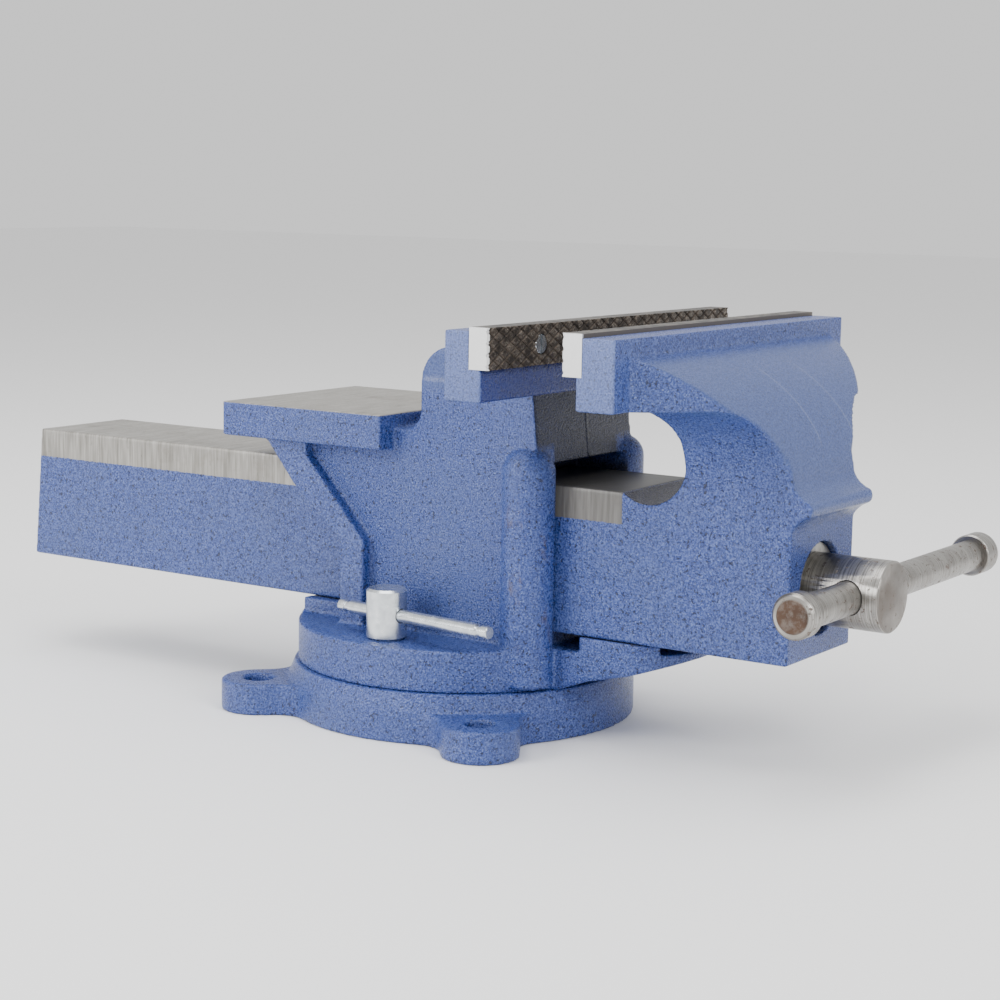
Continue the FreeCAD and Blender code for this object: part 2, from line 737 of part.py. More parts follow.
def cut_channel(body):
    """Channel for the spindle and nut, open below and at the rear, and the hole in the front wall."""
    half = channel_width / 2
    end = d.slide_rear + d.slide_draft + BITE
    channel = draw_box(new_sketch(body, "channel", "front", end), -half, half, d.slide_bottom - BITE,
                       d.slide_top - d.channel_roof)
    pocket(body, channel, end - wall_inside)
    bore = draw_circle(new_sketch(body, "spindle_bore", "front", wall_inside + BITE), 0, d.spindle_height,
                       spindle_bore)
    pocket(body, bore, d.front_wall + 2 * BITE)
    recess = draw_circle(new_sketch(body, "spindle_recess", "front", front_face + d.wall_hole_depth),
                         0, d.spindle_height, d.wall_hole_dia / 2)
    pocket(body, recess, d.wall_hole_depth + BITE)
    for side, word in SIDES:
        tapped = draw_circle(new_sketch(body, f"insert_hole_{word}", "front", moving_seat + BITE),
                             side * d.screw_spacing / 2, insert_bottom + d.screw_rise,
                             d.screw_dia / 2 + d.running_clearance)
        pocket(body, tapped, insert_hole_depth + BITE)


def make_insert(name, back, face):
    """Hardened jaw plate, counterbored for its two screws; face is where it grips."""
    body = new_body(name)
    faces_rear = number(face) > number(back)
    low, high = (back, face) if faces_rear else (face, back)
    plate = draw_box(new_sketch(body, f"{name}_plate", "front", high), -half_jaw, half_jaw,
                     insert_bottom, d.jaw_top)
    pad(body, plate, high - low)
    end = number(half_jaw)
    finish_edges(body, f"{name}_ends", d.insert_chamfer,
                 lambda edge: along(edge, "z") and abs(abs(edge.CenterOfMass.x) - end) < NEAR, "Chamfer")
    start = face + BITE if faces_rear else face + d.screw_head_tall
    v = insert_bottom + d.screw_rise
    for side, word in SIDES:
        u = side * d.screw_spacing / 2
        hole = draw_circle(new_sketch(body, f"{name}_hole_{word}", "front", high + BITE), u, v,
                           d.screw_dia / 2 + d.running_clearance)
        pocket(body, hole, d.insert_thick + 2 * BITE)
        head = draw_circle(new_sketch(body, f"{name}_head_{word}", "front", start), u, v,
                           d.screw_head_dia / 2 + d.running_clearance)
        pocket(body, head, d.screw_head_tall + BITE)
    return body


def make_insert_screw(name, x, face, into):
    """Cheese-head screw, just below the plate's working face; into is its way in, 1 for +Y."""
    head = d.screw_head_dia / 2
    sunk = d.screw_sunk
    profile = [(0, sunk), (head - d.small_edge, sunk), (head, sunk + d.small_edge),
               (head, d.screw_head_tall), (d.screw_dia / 2, d.screw_head_tall),
               (d.screw_dia / 2, d.screw_length), (0, d.screw_length)]
    turn = TO_REAR if into > 0 else TO_REAR.inverted()
    body = turned(name, profile, x, face, insert_bottom + d.screw_rise, turn)
    half = d.screw_slot_width / 2
    slot = draw_box(new_sketch(body, f"{name}_slot", "front"), -half, half, 0, sunk + d.screw_slot_depth)
    pocket(body, slot, d.screw_head_dia + 2 * BITE, both_ways=True)
    return body


def make_spindle():
    """Screw with its round head, cross-bored for the handle."""
    radius = d.spindle_dia / 2
    head = d.spindle_head_dia / 2
    head_end = shoulder - spindle_end
    total = d.spindle_rear - spindle_end
    edge = d.spindle_edge
    profile = [(0, 0), (head - edge, 0), (head, edge), (head, head_end), (radius, head_end),
               (radius, total - d.spindle_point), (radius - d.spindle_point, total), (0, total)]
    body = turned("spindle", profile, 0, spindle_end, d.spindle_height, TO_REAR)
    cross = draw_circle(new_sketch(body, "handle_hole", "side"), 0, d.handle_setback,
                        d.handle_dia / 2 + d.handle_play)
    pocket(body, cross, d.spindle_head_dia + 2 * BITE, both_ways=True)
    cotter = draw_circle(new_sketch(body, "cotter_hole", "side"), 0, cotter_y - spindle_end,
                         d.cotter_dia / 2 + d.running_clearance)
    pocket(body, cotter, d.spindle_dia + 2 * BITE, both_ways=True)
    return body


def make_ring(name, inner, outer, thick, y):
    """Flat washer around the spindle."""
    profile = [(inner, 0), (outer, 0), (outer, thick), (inner, thick)]
    return turned(name, profile, 0, y, d.spindle_height, TO_REAR)


def make_spring():
    """Compression spring that takes up the play behind the front wall."""
    helix = doc.addObject("Part::Helix", "spring_path")
    height = d.spring_length - d.spring_wire - d.spring_gap
    set_size(helix, "Radius", d.spindle_dia / 2 + d.spring_wire / 2 + d.spring_gap)
    set_size(helix, "Pitch", height / d.spring_turns)
    set_size(helix, "Height", height)
    wire = doc.addObject("Part::Circle", "spring_wire_section")
    set_size(wire, "Radius", d.spring_wire / 2)
    wire.Placement = FreeCAD.Placement(FreeCAD.Vector(number(helix.Radius), 0, 0),
                                       FreeCAD.Rotation(FreeCAD.Vector(1, 0, 0), 90))
    wire.setExpression("Placement.Base.x", "spring_path.Radius")
    spring = doc.addObject("Part::Sweep", "spindle_spring")
    spring.Label = "spindle_spring"
    spring.Sections = [wire]
    spring.Spine = (helix, ["Edge1"])
    spring.Solid = True
    spring.Frenet = True
    doc.recompute()
    place(spring, 0, wall_inside + d.spring_wire / 2 + d.spring_gap / 2, d.spindle_height, TO_REAR)
    return spring


def make_cotter():
    """Pin through the spindle behind the spring's washer."""
    reach = d.spindle_dia / 2 + d.cotter_proud
    radius = d.cotter_dia / 2
    return turned("cotter_pin", [(0, -reach), (radius, -reach), (radius, reach), (0, reach)],
                  0, cotter_y, d.spindle_height, TO_RIGHT)


def make_handle():
    """Sliding bar with a knob pressed on each end."""
    radius = d.handle_dia / 2
    edge = d.handle_edge
    length = d.handle_length
    bar = turned("handle_bar", [(0, 0), (radius - edge, 0), (radius, edge), (radius, length - edge),
                                (radius - edge, length), (0, length)],
                 -d.handle_near, handle_y, d.spindle_height, TO_RIGHT)
    knob = d.knob_dia / 2
    tall = d.knob_length
    round_edge = 2 * edge
    near_knob = [(radius, edge), (knob - round_edge, edge), (knob, edge + round_edge),
                 (knob, tall - d.knob_taper), (radius + edge, tall), (radius, tall)]
    far_knob = [(radius, 0), (knob - edge, 0), (knob, edge), (knob, tall - edge - round_edge),
                (knob - round_edge, tall - edge), (radius, tall - edge)]
    turned("handle_knob_near", near_knob, -d.handle_near, handle_y, d.spindle_height, TO_RIGHT)
    turned("handle_knob_far", far_knob, length - d.handle_near - tall, handle_y, d.spindle_height,
           TO_RIGHT)
    return bar


def make_nut():
    """Bored block on the guide's floor, held by one bolt from below."""
    body = new_body("spindle_nut")
    low = d.slide_bottom - d.guide_clearance
    half = d.nut_width / 2
    rear = d.nut_length - d.nut_front
    block = draw_box(new_sketch(body, "nut_block", "front", rear), -half, half, low, d.nut_top)
    pad(body, block, d.nut_length)
    bore = draw_circle(new_sketch(body, "nut_bore", "front", rear + BITE), 0, d.spindle_height, spindle_bore)
    pocket(body, bore, d.nut_length + 2 * BITE)
    tapped = draw_circle(new_sketch(body, "nut_tapping", "top", low - BITE), 0, nut_middle,
                         d.nut_bolt_dia / 2 + d.running_clearance)
    pocket(body, tapped, nut_bolt_end - low + d.bore_runout + BITE)
    finish_edges(body, "nut_corners", d.nut_chamfer,
                 lambda edge: along(edge, "y") and near(edge, z=d.nut_top), "Chamfer")
    return body


def make_nut_bolt():
    """Hexagon bolt up through the turntable's floor into the nut."""
    body = new_body("nut_bolt")
    flat = d.nut_bolt_head / 2
    corner = d.nut_bolt_head / math.sqrt(3)
    hexagon = [(corner, 0), (corner / 2, flat), (-corner / 2, flat), (-corner, 0),
               (-corner / 2, -flat), (corner / 2, -flat)]
    tall = d.nut_bolt_head_tall
    pad(body, draw_outline(new_sketch(body, "bolt_head", "top", -tall), hexagon), tall)
    shank = draw_circle(new_sketch(body, "bolt_shank", "top"), 0, 0, d.nut_bolt_dia / 2)
    pad(body, shank, nut_bolt_end - d.base_height)
    place(body, 0, nut_middle, d.base_height)
    return body


def make_lock_screw(name, x, way):
    """Swivel lock screw: round head cross-bored along way, shank down to the clamp plate."""
    head = d.lock_head_dia / 2
    radius = d.lock_dia / 2
    tall = d.lock_head_tall
    edge = d.lock_edge
    deep = d.turntable_top - flange_bottom + d.clamp_plate_thick + d.bore_runout
    profile = [(0, -deep), (radius - edge, -deep), (radius, edge - deep), (radius, 0), (head - edge, 0),
               (head, edge), (head, tall - edge), (head - edge, tall), (0, tall)]
    body = turned(name, profile, x, 0, d.turntable_top, FreeCAD.Rotation(UP, way))
    cross = draw_circle(new_sketch(body, f"{name}_cross", "side"), 0, d.lock_bar_height,
                        d.lock_bar_dia / 2 + d.lock_bar_play)
    pocket(body, cross, d.lock_head_dia + 2 * BITE, both_ways=True)
    return body


def make_lock_bar(name, x, way):
    """Bar through a lock screw's head, necked near both ends; way is its long arm, in degrees from +X."""
    radius = d.lock_bar_dia / 2
    neck = d.lock_bar_neck / 2
    tip = d.lock_bar_tip / 2
    length = d.lock_bar_length
    edge = d.small_edge
    ends = d.lock_bar_tip_length
    waist = ends + d.lock_bar_neck_length
    slope = radius - neck
    profile = [(0, 0), (tip - edge, 0), (tip, edge), (tip, ends - edge), (neck, ends), (neck, waist),
               (radius, waist + slope), (radius, length - waist - slope), (neck, length - waist),
               (neck, length - ends), (tip, length - ends + edge), (tip, length - edge),
               (tip - edge, length), (0, length)]
    aim = FreeCAD.Rotation(UP, way) * TO_RIGHT
    angle = math.radians(way)
    back = -d.lock_bar_short_arm
    return turned(name, profile, x + back * math.cos(angle), back * math.sin(angle), bar_height, aim)


make_base_ring()
make_clamp_plate()
make_body_casting()
make_moving_jaw()
make_insert("fixed_jaw_insert", fixed_seat, -d.fixed_face)
make_insert("moving_jaw_insert", moving_seat, moving_face)
for side, word in SIDES:
    spot_x = side * d.screw_spacing / 2
    make_insert_screw(f"fixed_insert_screw_{word}", spot_x, -d.fixed_face, 1)
    make_insert_screw(f"moving_insert_screw_{word}", spot_x, moving_face, -1)
    bar_way = TO_FRONT + side * DIMENSIONS["lock_bar_angle"]
    make_lock_screw(f"lock_screw_{word}", side * d.lock_reach, bar_way)
    make_lock_bar(f"lock_bar_{word}", side * d.lock_reach, bar_way)
make_nut()
make_nut_bolt()
make_spindle()
make_ring("thrust_washer", spindle_bore, d.wall_hole_dia / 2 - d.washer_play, d.thrust_washer_thick,
          shoulder)
make_spring()
make_ring("spring_washer", spindle_bore, channel_width / 2 - d.collar_play, d.collar_thick, collar_y)
make_cotter()
make_handle()

NODES = ["base_ring", "swivel_clamp_plate", "body_casting", "moving_jaw_casting", "fixed_jaw_insert",
         "moving_jaw_insert", "fixed_insert_screw_left", "fixed_insert_screw_right",
         "moving_insert_screw_left", "moving_insert_screw_right", "lock_screw_left", "lock_screw_right",
         "lock_bar_left", "lock_bar_right", "spindle_nut", "nut_bolt", "spindle", "thrust_washer",
         "spindle_spring", "spring_washer", "cotter_pin", "handle_bar", "handle_knob_near",
         "handle_knob_far"]

doc.recompute()
for thing in doc.Objects:
    if "Invalid" in thing.State or "Error" in thing.State:
        raise RuntimeError(f"{thing.Name} did not compute: {thing.State}")
os.makedirs("parts", exist_ok=True)
for node in NODES:
    shape = doc.getObject(node).Shape
    if shape.isNull() or not shape.isValid() or not shape.Solids:
        raise RuntimeError(f"{node} has no valid solid")
    shape.exportStep(f"parts/{node}.step")
    print(f"{node}: {len(shape.Solids)} solid, {shape.Volume / 1000:.1f} cm3")
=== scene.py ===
# %% [markdown]
# # Bench vise on a swivel base
# The castings, screws and bars come from the CAD model, which the script loads as a frame and never
# moves. The Blender work adds what a foundry and a machine shop leave on them: rounded casting
# edges, blue hammertone enamel with bare machined strips, cross-hatched jaw plates, a cut screw
# thread, turned knobs and bright zinc hardware.

# %% title: tools and frame
import math
import bmesh
import bpy
from mathutils import Matrix, Vector


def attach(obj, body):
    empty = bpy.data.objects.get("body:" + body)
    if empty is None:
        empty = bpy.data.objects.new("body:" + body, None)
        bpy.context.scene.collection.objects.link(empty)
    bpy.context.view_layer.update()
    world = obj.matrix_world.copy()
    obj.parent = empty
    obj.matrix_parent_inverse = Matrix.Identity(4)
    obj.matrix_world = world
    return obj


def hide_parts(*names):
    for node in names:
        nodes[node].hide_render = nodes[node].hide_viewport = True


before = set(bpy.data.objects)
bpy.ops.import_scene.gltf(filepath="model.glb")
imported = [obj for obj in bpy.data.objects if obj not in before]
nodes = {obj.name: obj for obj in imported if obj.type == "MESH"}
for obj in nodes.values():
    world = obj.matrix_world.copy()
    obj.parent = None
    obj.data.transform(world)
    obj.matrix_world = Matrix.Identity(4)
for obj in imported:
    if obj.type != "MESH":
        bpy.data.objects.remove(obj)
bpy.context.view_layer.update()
MM = 0.001
X, Y, Z = 0, 1, 2
scene = bpy.context.scene


def report(obj):
    size = [round(v / MM, 1) for v in obj.dimensions]
    print(f"{obj.name}: {len(obj.data.polygons)} faces, {size} mm")


def span(node, axis):
    """Lowest and highest place of a CAD node along an axis, in mm."""
    places = [vert.co[axis] / MM for vert in nodes[node].data.vertices]
    return round(min(places), 1), round(max(places), 1)


# %% [markdown]
# ## Material helpers
# Every finish here is procedural and reads object coordinates, so it stays put when a part moves.
# One small class keeps the node code short: a call makes a node, fills its inputs and returns its
# first output. Lengths in the materials are millimetres, which is how a painter or a machinist
# would describe a speckle or a milling mark.

# %% title: material helpers
class Paint:
    """Node tree of one material, ending in a Principled shader."""

    def __init__(self, name, colour, roughness, metallic=0.0):
        self.material = bpy.data.materials.new(name)
        self.material.use_nodes = True
        self.tree = self.material.node_tree
        self.shader = next(n for n in self.tree.nodes if n.type == "BSDF_PRINCIPLED")
        self.shader.inputs["Base Color"].default_value = (*colour, 1)
        self.shader.inputs["Roughness"].default_value = roughness
        self.shader.inputs["Metallic"].default_value = metallic
        coordinates = self.tree.nodes.new("ShaderNodeTexCoord")
        self.place = self.vector("MULTIPLY", coordinates.outputs["Object"], (1000, 1000, 1000))
        split = self.tree.nodes.new("ShaderNodeSeparateXYZ")
        self.tree.links.new(self.place, split.inputs[0])
        self.x, self.y, self.z = split.outputs
        facing = self.tree.nodes.new("ShaderNodeSeparateXYZ")
        self.tree.links.new(coordinates.outputs["Normal"], facing.inputs[0])
        self.sideways = self.math("ABSOLUTE", facing.outputs[0])
        self.from_middle = self.math("ABSOLUTE", self.x)

    def plug(self, socket, value):
        if isinstance(value, bpy.types.NodeSocket):
            self.tree.links.new(value, socket)
        else:
            socket.default_value = value

    def vector(self, operation, first, second):
        node = self.tree.nodes.new("ShaderNodeVectorMath")
        node.operation = operation
        self.plug(node.inputs[0], first)
        self.plug(node.inputs[1], second)
        return node.outputs[0]

    def math(self, operation, first, second=0.0):
        node = self.tree.nodes.new("ShaderNodeMath")
        node.operation = operation
        self.plug(node.inputs[0], first)
        self.plug(node.inputs[1], second)
        return node.outputs[0]

    def times(self, first, second):
        return self.math("MULTIPLY", first, second)

    def noise(self, stretch, detail=2.0, roughness=0.5, offset=(0, 0, 0)):
        """Noise with stretch features for each millimetre along x, y and z."""
        scaled = self.vector("MULTIPLY", self.place, stretch)
        node = self.tree.nodes.new("ShaderNodeTexNoise")
        self.plug(node.inputs["Vector"], self.vector("ADD", scaled, offset))
        node.inputs["Scale"].default_value = 1.0
        node.inputs["Detail"].default_value = detail
        node.inputs["Roughness"].default_value = roughness
        return node.outputs["Fac"]

    def ramp(self, factor, *stops):
        """Colour ramp from (position, colour) stops."""
        node = self.tree.nodes.new("ShaderNodeValToRGB")
        self.plug(node.inputs[0], factor)
        while len(node.color_ramp.elements) < len(stops):
            node.color_ramp.elements.new(0.5)
        for element, (position, colour) in zip(node.color_ramp.elements, stops):
            element.position = position
            element.color = (*colour, 1)
        return node.outputs["Color"]

    def mask(self, factor, low, high):
        """0 below low, 1 above high, or the other way round where low is larger."""
        node = self.tree.nodes.new("ShaderNodeMapRange")
        self.plug(node.inputs["Value"], factor)
        start, end, zero, one = (low, high, 0.0, 1.0) if low < high else (high, low, 1.0, 0.0)
        node.inputs["From Min"].default_value = start
        node.inputs["From Max"].default_value = end
        node.inputs["To Min"].default_value = zero
        node.inputs["To Max"].default_value = one
        return node.outputs["Result"]

    def above(self, factor, border, fade):
        """1 past a border, fading in just before it."""
        return self.mask(factor, border - fade, border)

    def below(self, factor, border, fade):
        """1 short of a border, fading out just past it."""
        return self.mask(factor, border + fade, border)

    def mix(self, factor, first, second):
        """Colour between first and second."""
        node = self.tree.nodes.new("ShaderNodeMix")
        node.data_type = "RGBA"
        self.plug(node.inputs["Factor"], factor)
        self.plug(node.inputs["A"], first if not isinstance(first, tuple) else (*first, 1))
        self.plug(node.inputs["B"], second if not isinstance(second, tuple) else (*second, 1))
        return node.outputs["Result"]

    def blend(self, factor, first, second):
        """Number between first and second."""
        node = self.tree.nodes.new("ShaderNodeMix")
        node.data_type = "FLOAT"
        self.plug(node.inputs["Factor"], factor)
        self.plug(node.inputs["A"], first)
        self.plug(node.inputs["B"], second)
        return node.outputs["Result"]

    def all_of(self, *masks):
        result = masks[0]
        for mask in masks[1:]:
            result = self.times(result, mask)
        return result

    def bump(self, height, depth):
        """Relief of the given depth in millimetres."""
        node = self.tree.nodes.new("ShaderNodeBump")
        node.inputs["Strength"].default_value = 1.0
        node.inputs["Distance"].default_value = depth * MM
        self.plug(node.inputs["Height"], height)
        self.tree.links.new(node.outputs["Normal"], self.shader.inputs["Normal"])

    def colour(self, value):
        self.plug(self.shader.inputs["Base Color"], value)

    def rough(self, value):
        self.plug(self.shader.inputs["Roughness"], value)

    def metal(self, value):
        self.plug(self.shader.inputs["Metallic"], value)


# %% [markdown]
# ## Enamel and machined iron
# Hammertone enamel is sprayed thick and pulls into small cells while it dries, so it shows a light
# blue ground with darker blue grain and a pebbled surface that glints. Sparse pale specks are
# painted into its colour as well, as painted highlights. A casting is painted first and machined
# after, which is why bare strips cut through the paint with crisp borders. So the finish is put on
# in layers, in the order of the real work, and each layer is told its region.

# %% title: enamel and machined iron
PALE_BLUE = (0.105, 0.155, 0.400)
LIGHT_BLUE = (0.040, 0.076, 0.285)
MID_BLUE = (0.023, 0.049, 0.215)
DARK_BLUE = (0.007, 0.018, 0.095)
PIT_BLUE = (0.003, 0.006, 0.030)
# painted highlight: colour of the pale specks that stand in for glints
PAINTED_GLINT_BLUE = (0.36, 0.46, 0.74)
CLOUD_BLUE = (0.055, 0.085, 0.215)
# painted highlight on the outer ends of the jaws
PAINTED_HIGHLIGHT_BLUE = (0.26, 0.33, 0.58)
CALM_DARK, CALM_LIGHT = (0.036, 0.064, 0.195), (0.064, 0.100, 0.255)
IRON_DARK, IRON_LIGHT = (0.215, 0.205, 0.185), (0.40, 0.385, 0.36)
IRON_WORN = (0.15, 0.14, 0.12)
IRON_STAIN = (0.12, 0.10, 0.075)
IRON_NICK = (0.07, 0.06, 0.05)
OIL_BLACK = (0.028, 0.027, 0.027)
ENAMEL_RELIEF = 0.55


def casting_paint(name, *layers):
    """Blue hammertone; each layer is a function that paints over it."""
    paint = Paint(name, MID_BLUE, 0.38)
    grain = paint.noise((1.25, 1.25, 1.25), detail=2.0, roughness=0.55)
    speck = paint.noise((0.66, 0.66, 0.66), detail=1.0, offset=(31, 17, 5))
    painted_glint = paint.noise((1.7, 1.7, 1.7), detail=1.0, offset=(3, 71, 15))
    cloud = paint.noise((0.03, 0.03, 0.03), detail=2.0, offset=(7, 3, 1))
    enamel = paint.ramp(grain, (0.32, DARK_BLUE), (0.45, MID_BLUE), (0.56, LIGHT_BLUE),
                        (0.68, PALE_BLUE))
    # painted highlight: sparse pale specks stand in for glints of light
    enamel = paint.mix(paint.times(paint.mask(painted_glint, 0.66, 0.72), 0.45), enamel, PAINTED_GLINT_BLUE)
    pits = paint.times(paint.mask(speck, 0.645, 0.68), 0.9)
    enamel = paint.mix(pits, enamel, PIT_BLUE)
    enamel = paint.mix(paint.times(paint.mask(cloud, 0.40, 0.66), 0.20), enamel, CLOUD_BLUE)
    depth = paint.math("SUBTRACT", grain, paint.times(pits, 0.35))
    look = {"paint": paint, "grain": grain, "colour": enamel, "depth": depth, "metal": 0.0,
            "rough": paint.blend(paint.mask(grain, 0.25, 0.80), 0.20, 0.38)}
    for layer in layers:
        layer(look)
    paint.colour(look["colour"])
    paint.rough(look["rough"])
    paint.metal(look["metal"])
    paint.bump(look["depth"], ENAMEL_RELIEF)
    return paint.material


def smooth_paint(region):
    """Layer of thinner, calmer paint, as on faces that were filled before painting."""
    def layer(look):
        paint = look["paint"]
        calm = region(paint)
        even = paint.mix(paint.mask(look["grain"], 0.30, 0.75), CALM_DARK, CALM_LIGHT)
        look["colour"] = paint.mix(paint.times(calm, 0.75), look["colour"], even)
        look["depth"] = paint.blend(paint.times(calm, 0.70), look["depth"], 0.5)
    return layer


def tint(region, colour, share):
    """Layer of thinner paint, oil, rust, wear, painted shade or highlight shifting a region to one
    colour.
    """
    def layer(look):
        paint = look["paint"]
        look["colour"] = paint.mix(paint.times(region(paint), share), look["colour"], colour)
    return layer


def raised(region, height):
    """Layer that lifts the surface, as a parting line does."""
    def layer(look):
        paint = look["paint"]
        look["depth"] = paint.math("ADD", look["depth"], paint.times(region(paint), height))
    return layer


def machined(region, oiled=None):
    """Layer of bare milled iron; oiled says where it has gone dark."""
    def layer(look):
        paint = look["paint"]
        bare = region(paint)
        marks = paint.noise((0.05, 0.9, 0.05), detail=3.0)
        wall_marks = paint.noise((0.6, 0.9, 0.06), detail=3.0)
        stain = paint.noise((0.05, 0.03, 0.05), detail=4.0, roughness=0.65, offset=(2, 9, 4))
        nicks = paint.noise((0.10, 0.55, 0.10), detail=3.0, roughness=0.7, offset=(12, 2, 9))
        iron = paint.mix(paint.mask(marks, 0.30, 0.70), IRON_DARK, IRON_LIGHT)
        worn = paint.times(paint.mask(wall_marks, 0.45, 0.62), 0.30)
        iron = paint.mix(worn, iron, IRON_WORN)
        iron = paint.mix(paint.times(paint.mask(stain, 0.54, 0.74), 0.5), iron, IRON_STAIN)
        iron = paint.mix(paint.times(paint.mask(nicks, 0.66, 0.70), 0.6), iron, IRON_NICK)
        if oiled:
            iron = paint.mix(paint.times(oiled(paint), 0.88), iron, OIL_BLACK)
        look["colour"] = paint.mix(bare, look["colour"], iron)
        shine = paint.times(bare, 0.55)
        look["rough"] = paint.blend(bare, look["rough"], 0.42)
        if oiled:
            shine = paint.times(shine, paint.math("SUBTRACT", 1.0, oiled(paint)))
        look["metal"] = shine
        look["depth"] = paint.blend(bare, look["depth"], paint.blend(0.12, 0.5, wall_marks))
    return layer


# %% [markdown]
# ## Regions of the castings
# A region is a function that gives 1 inside a stretch of the casting and 0 outside it, with a soft
# border. Its borders are places on the vise in millimetres: y runs from the handle to the rear and
# z up from the bench. A cutter leaves a border within a few tenths, while dust, thin paint, painted
# shade and painted highlights fade over millimetres, and that fade is the last number of each
# border.

# %% title: regions of the moving jaw
JAW_HALF = span("moving_jaw_insert", X)[1]
BROW_REAR = -146.0
CUTTER_FADE = 0.3


def ragged(paint, axis, amount):
    """Coordinate with a slightly uneven border, as where a cutter leaves the paint."""
    wobble = paint.math("SUBTRACT", paint.noise((0.8, 0.8, 0.8), detail=2.0, offset=(3, 5, 8)), 0.5)
    return paint.math("ADD", axis, paint.times(wobble, amount))


def slide_bare(paint):
    """Top of the slide and the upper strip of its sides, milled to fit the guide."""
    strip_foot, strip_front = 98.3, -102.1
    height = ragged(paint, paint.z, 1.2)
    length = ragged(paint, paint.y, 1.0)
    return paint.all_of(paint.above(height, strip_foot, CUTTER_FADE),
                        paint.above(length, strip_front, CUTTER_FADE))


def slide_oiled(paint):
    """Part of the slide that stands between the jaws, dark with oil."""
    top, guide_mouth, strip_share = 111.6, -45.0, 0.72
    flat = paint.above(paint.z, top, 1.0)
    between = paint.below(paint.y, guide_mouth, 65.0)
    strip = paint.times(paint.below(paint.y, -40.0, 20.0), strip_share)
    return paint.math("MAXIMUM", paint.times(flat, between), strip)


def brow_smooth(paint):
    """Brow and band, filled and rubbed down; the flared sides keep the rough paint."""
    foot, flare = 108.0, 0.34
    return paint.all_of(paint.below(paint.y, BROW_REAR, 5.0), paint.above(paint.z, foot, 6.0),
                        paint.below(paint.sideways, flare, 0.16))


def throat_dark(paint):
    """Scoop that the throat cuts into the slide's top, where oil and dust collect."""
    half_width, top, floor, front, rear = 28.5, 111.5, 107.2, -132.5, -96.0
    return paint.all_of(paint.below(paint.from_middle, half_width, 0.5),
                        paint.below(paint.z, top, 0.4), paint.above(paint.z, floor, 0.4),
                        paint.above(paint.y, front, 0.5), paint.below(paint.y, rear, 1.0))


def jaw_ends_painted_highlight(paint):
    """Outer ends of a jaw, painted paler as a highlight, more so towards the top."""
    return paint.all_of(paint.above(paint.from_middle, JAW_HALF - 0.5, 0.6),
                        paint.blend(paint.mask(paint.z, 150.0, 185.0), 0.6, 1.0))


def brow_scratches(paint):
    """Two thin curved scratches across the brow."""
    top, foot, curve, slant = 165.0, 139.0, 9.0, 22.0
    drop = paint.math("DIVIDE", paint.math("SUBTRACT", top + 1.0, paint.z), 30.0)
    bend = paint.times(paint.times(drop, drop), curve)
    lean = paint.math("SUBTRACT", bend, paint.times(drop, slant))
    lines = None
    for start in (-10.0, 22.0):
        path = paint.math("ADD", paint.math("SUBTRACT", paint.x, start), lean)
        line = paint.below(paint.math("ABSOLUTE", path), 0.15, 0.4)
        lines = line if lines is None else paint.math("MAXIMUM", lines, line)
    return paint.all_of(lines, paint.below(paint.y, BROW_REAR, 5.0),
                        paint.below(paint.z, top, 3.0), paint.above(paint.z, foot, 5.0))


# %% title: regions of the fixed jaw and its body
FIXED_FRONT = -60.0
LEDGE_FOOT = 151.0


def anvil_bare(paint):
    """Top of the anvil."""
    top, front = 137.4, 10.0
    return paint.all_of(paint.above(paint.z, top, CUTTER_FADE), paint.above(paint.y, front, 1.0),
                        paint.below(paint.z, top + 1.6, 1.0))


def brace_smooth(paint):
    """Rounded back of the fixed jaw."""
    foot, front = 152.0, -56.0
    return paint.all_of(paint.above(paint.z, foot, 4.5), paint.above(paint.y, front, 4.0))


def guide_painted_shade(paint):
    """Inside of the slide's tunnel and the throat above it, painted dark as shade in the recess."""
    half_width, top, floor = 29.9, 114.0, 47.0
    return paint.all_of(paint.below(paint.from_middle, half_width, 0.7),
                        paint.below(paint.z, top, 4.0), paint.above(paint.z, floor, 1.0))


def jaw_front(paint, rear, front, top, bottom):
    """Front face of the fixed jaw between two depths and two heights."""
    return paint.all_of(paint.below(paint.y, rear - 1.0, 1.0), paint.above(paint.y, front, 1.0),
                        paint.below(paint.z, top, 1.0), paint.above(paint.z, bottom + 2.0, 2.0),
                        paint.below(paint.from_middle, JAW_HALF - 1.4, 0.8),
                        paint.below(paint.sideways, 0.5, 0.2))


def block_painted_shade(paint):
    """Face behind the throat, painted near black as the shade between the jaws."""
    between_pillars = paint.below(paint.from_middle, 25.0, 2.0)
    over_pillars = paint.above(paint.z, 130.0, 4.0)
    return paint.all_of(jaw_front(paint, FIXED_FRONT + 0.5, -67.8, LEDGE_FOOT + 2.5, 118.5),
                        paint.math("MAXIMUM", between_pillars, over_pillars))


def ledge_painted_shade(paint):
    """Face under the jaw plate, painted deep blue as the shade under the plate."""
    return jaw_front(paint, -66.8, -84.0, 167.0, LEDGE_FOOT)


def parting_line(paint):
    """Rough line up the front of the fixed jaw, where the two halves of its mould met."""
    offset, half_width, foot = 2.0, 0.3, 123.0
    middle = paint.math("SUBTRACT", ragged(paint, paint.x, 2.0), offset)
    return paint.all_of(paint.below(paint.math("ABSOLUTE", middle), half_width, 1.0),
                        paint.below(paint.y, FIXED_FRONT - 1.0, 1.0),
                        paint.above(paint.z, foot, 2.0))


def pillar_stain(paint):
    """Yellowish stain on the near pillar."""
    blotch = paint.noise((0.10, 0.10, 0.05), detail=4.0, roughness=0.7, offset=(5, 5, 0))
    inner, rear, foot, top = -38.0, -57.0, 45.0, 95.0
    return paint.all_of(paint.mask(blotch, 0.56, 0.66), paint.below(paint.x, inner, 4.0),
                        paint.below(paint.y, rear, 5.0), paint.above(paint.z, foot, 9.0),
                        paint.below(paint.z, top, 17.0))


# %% [markdown]
# ## Three coats
# The same enamel goes on all three castings, and only the layers over it differ. The base has none:
# nothing slides on it, and it is out of the way of hands and files.

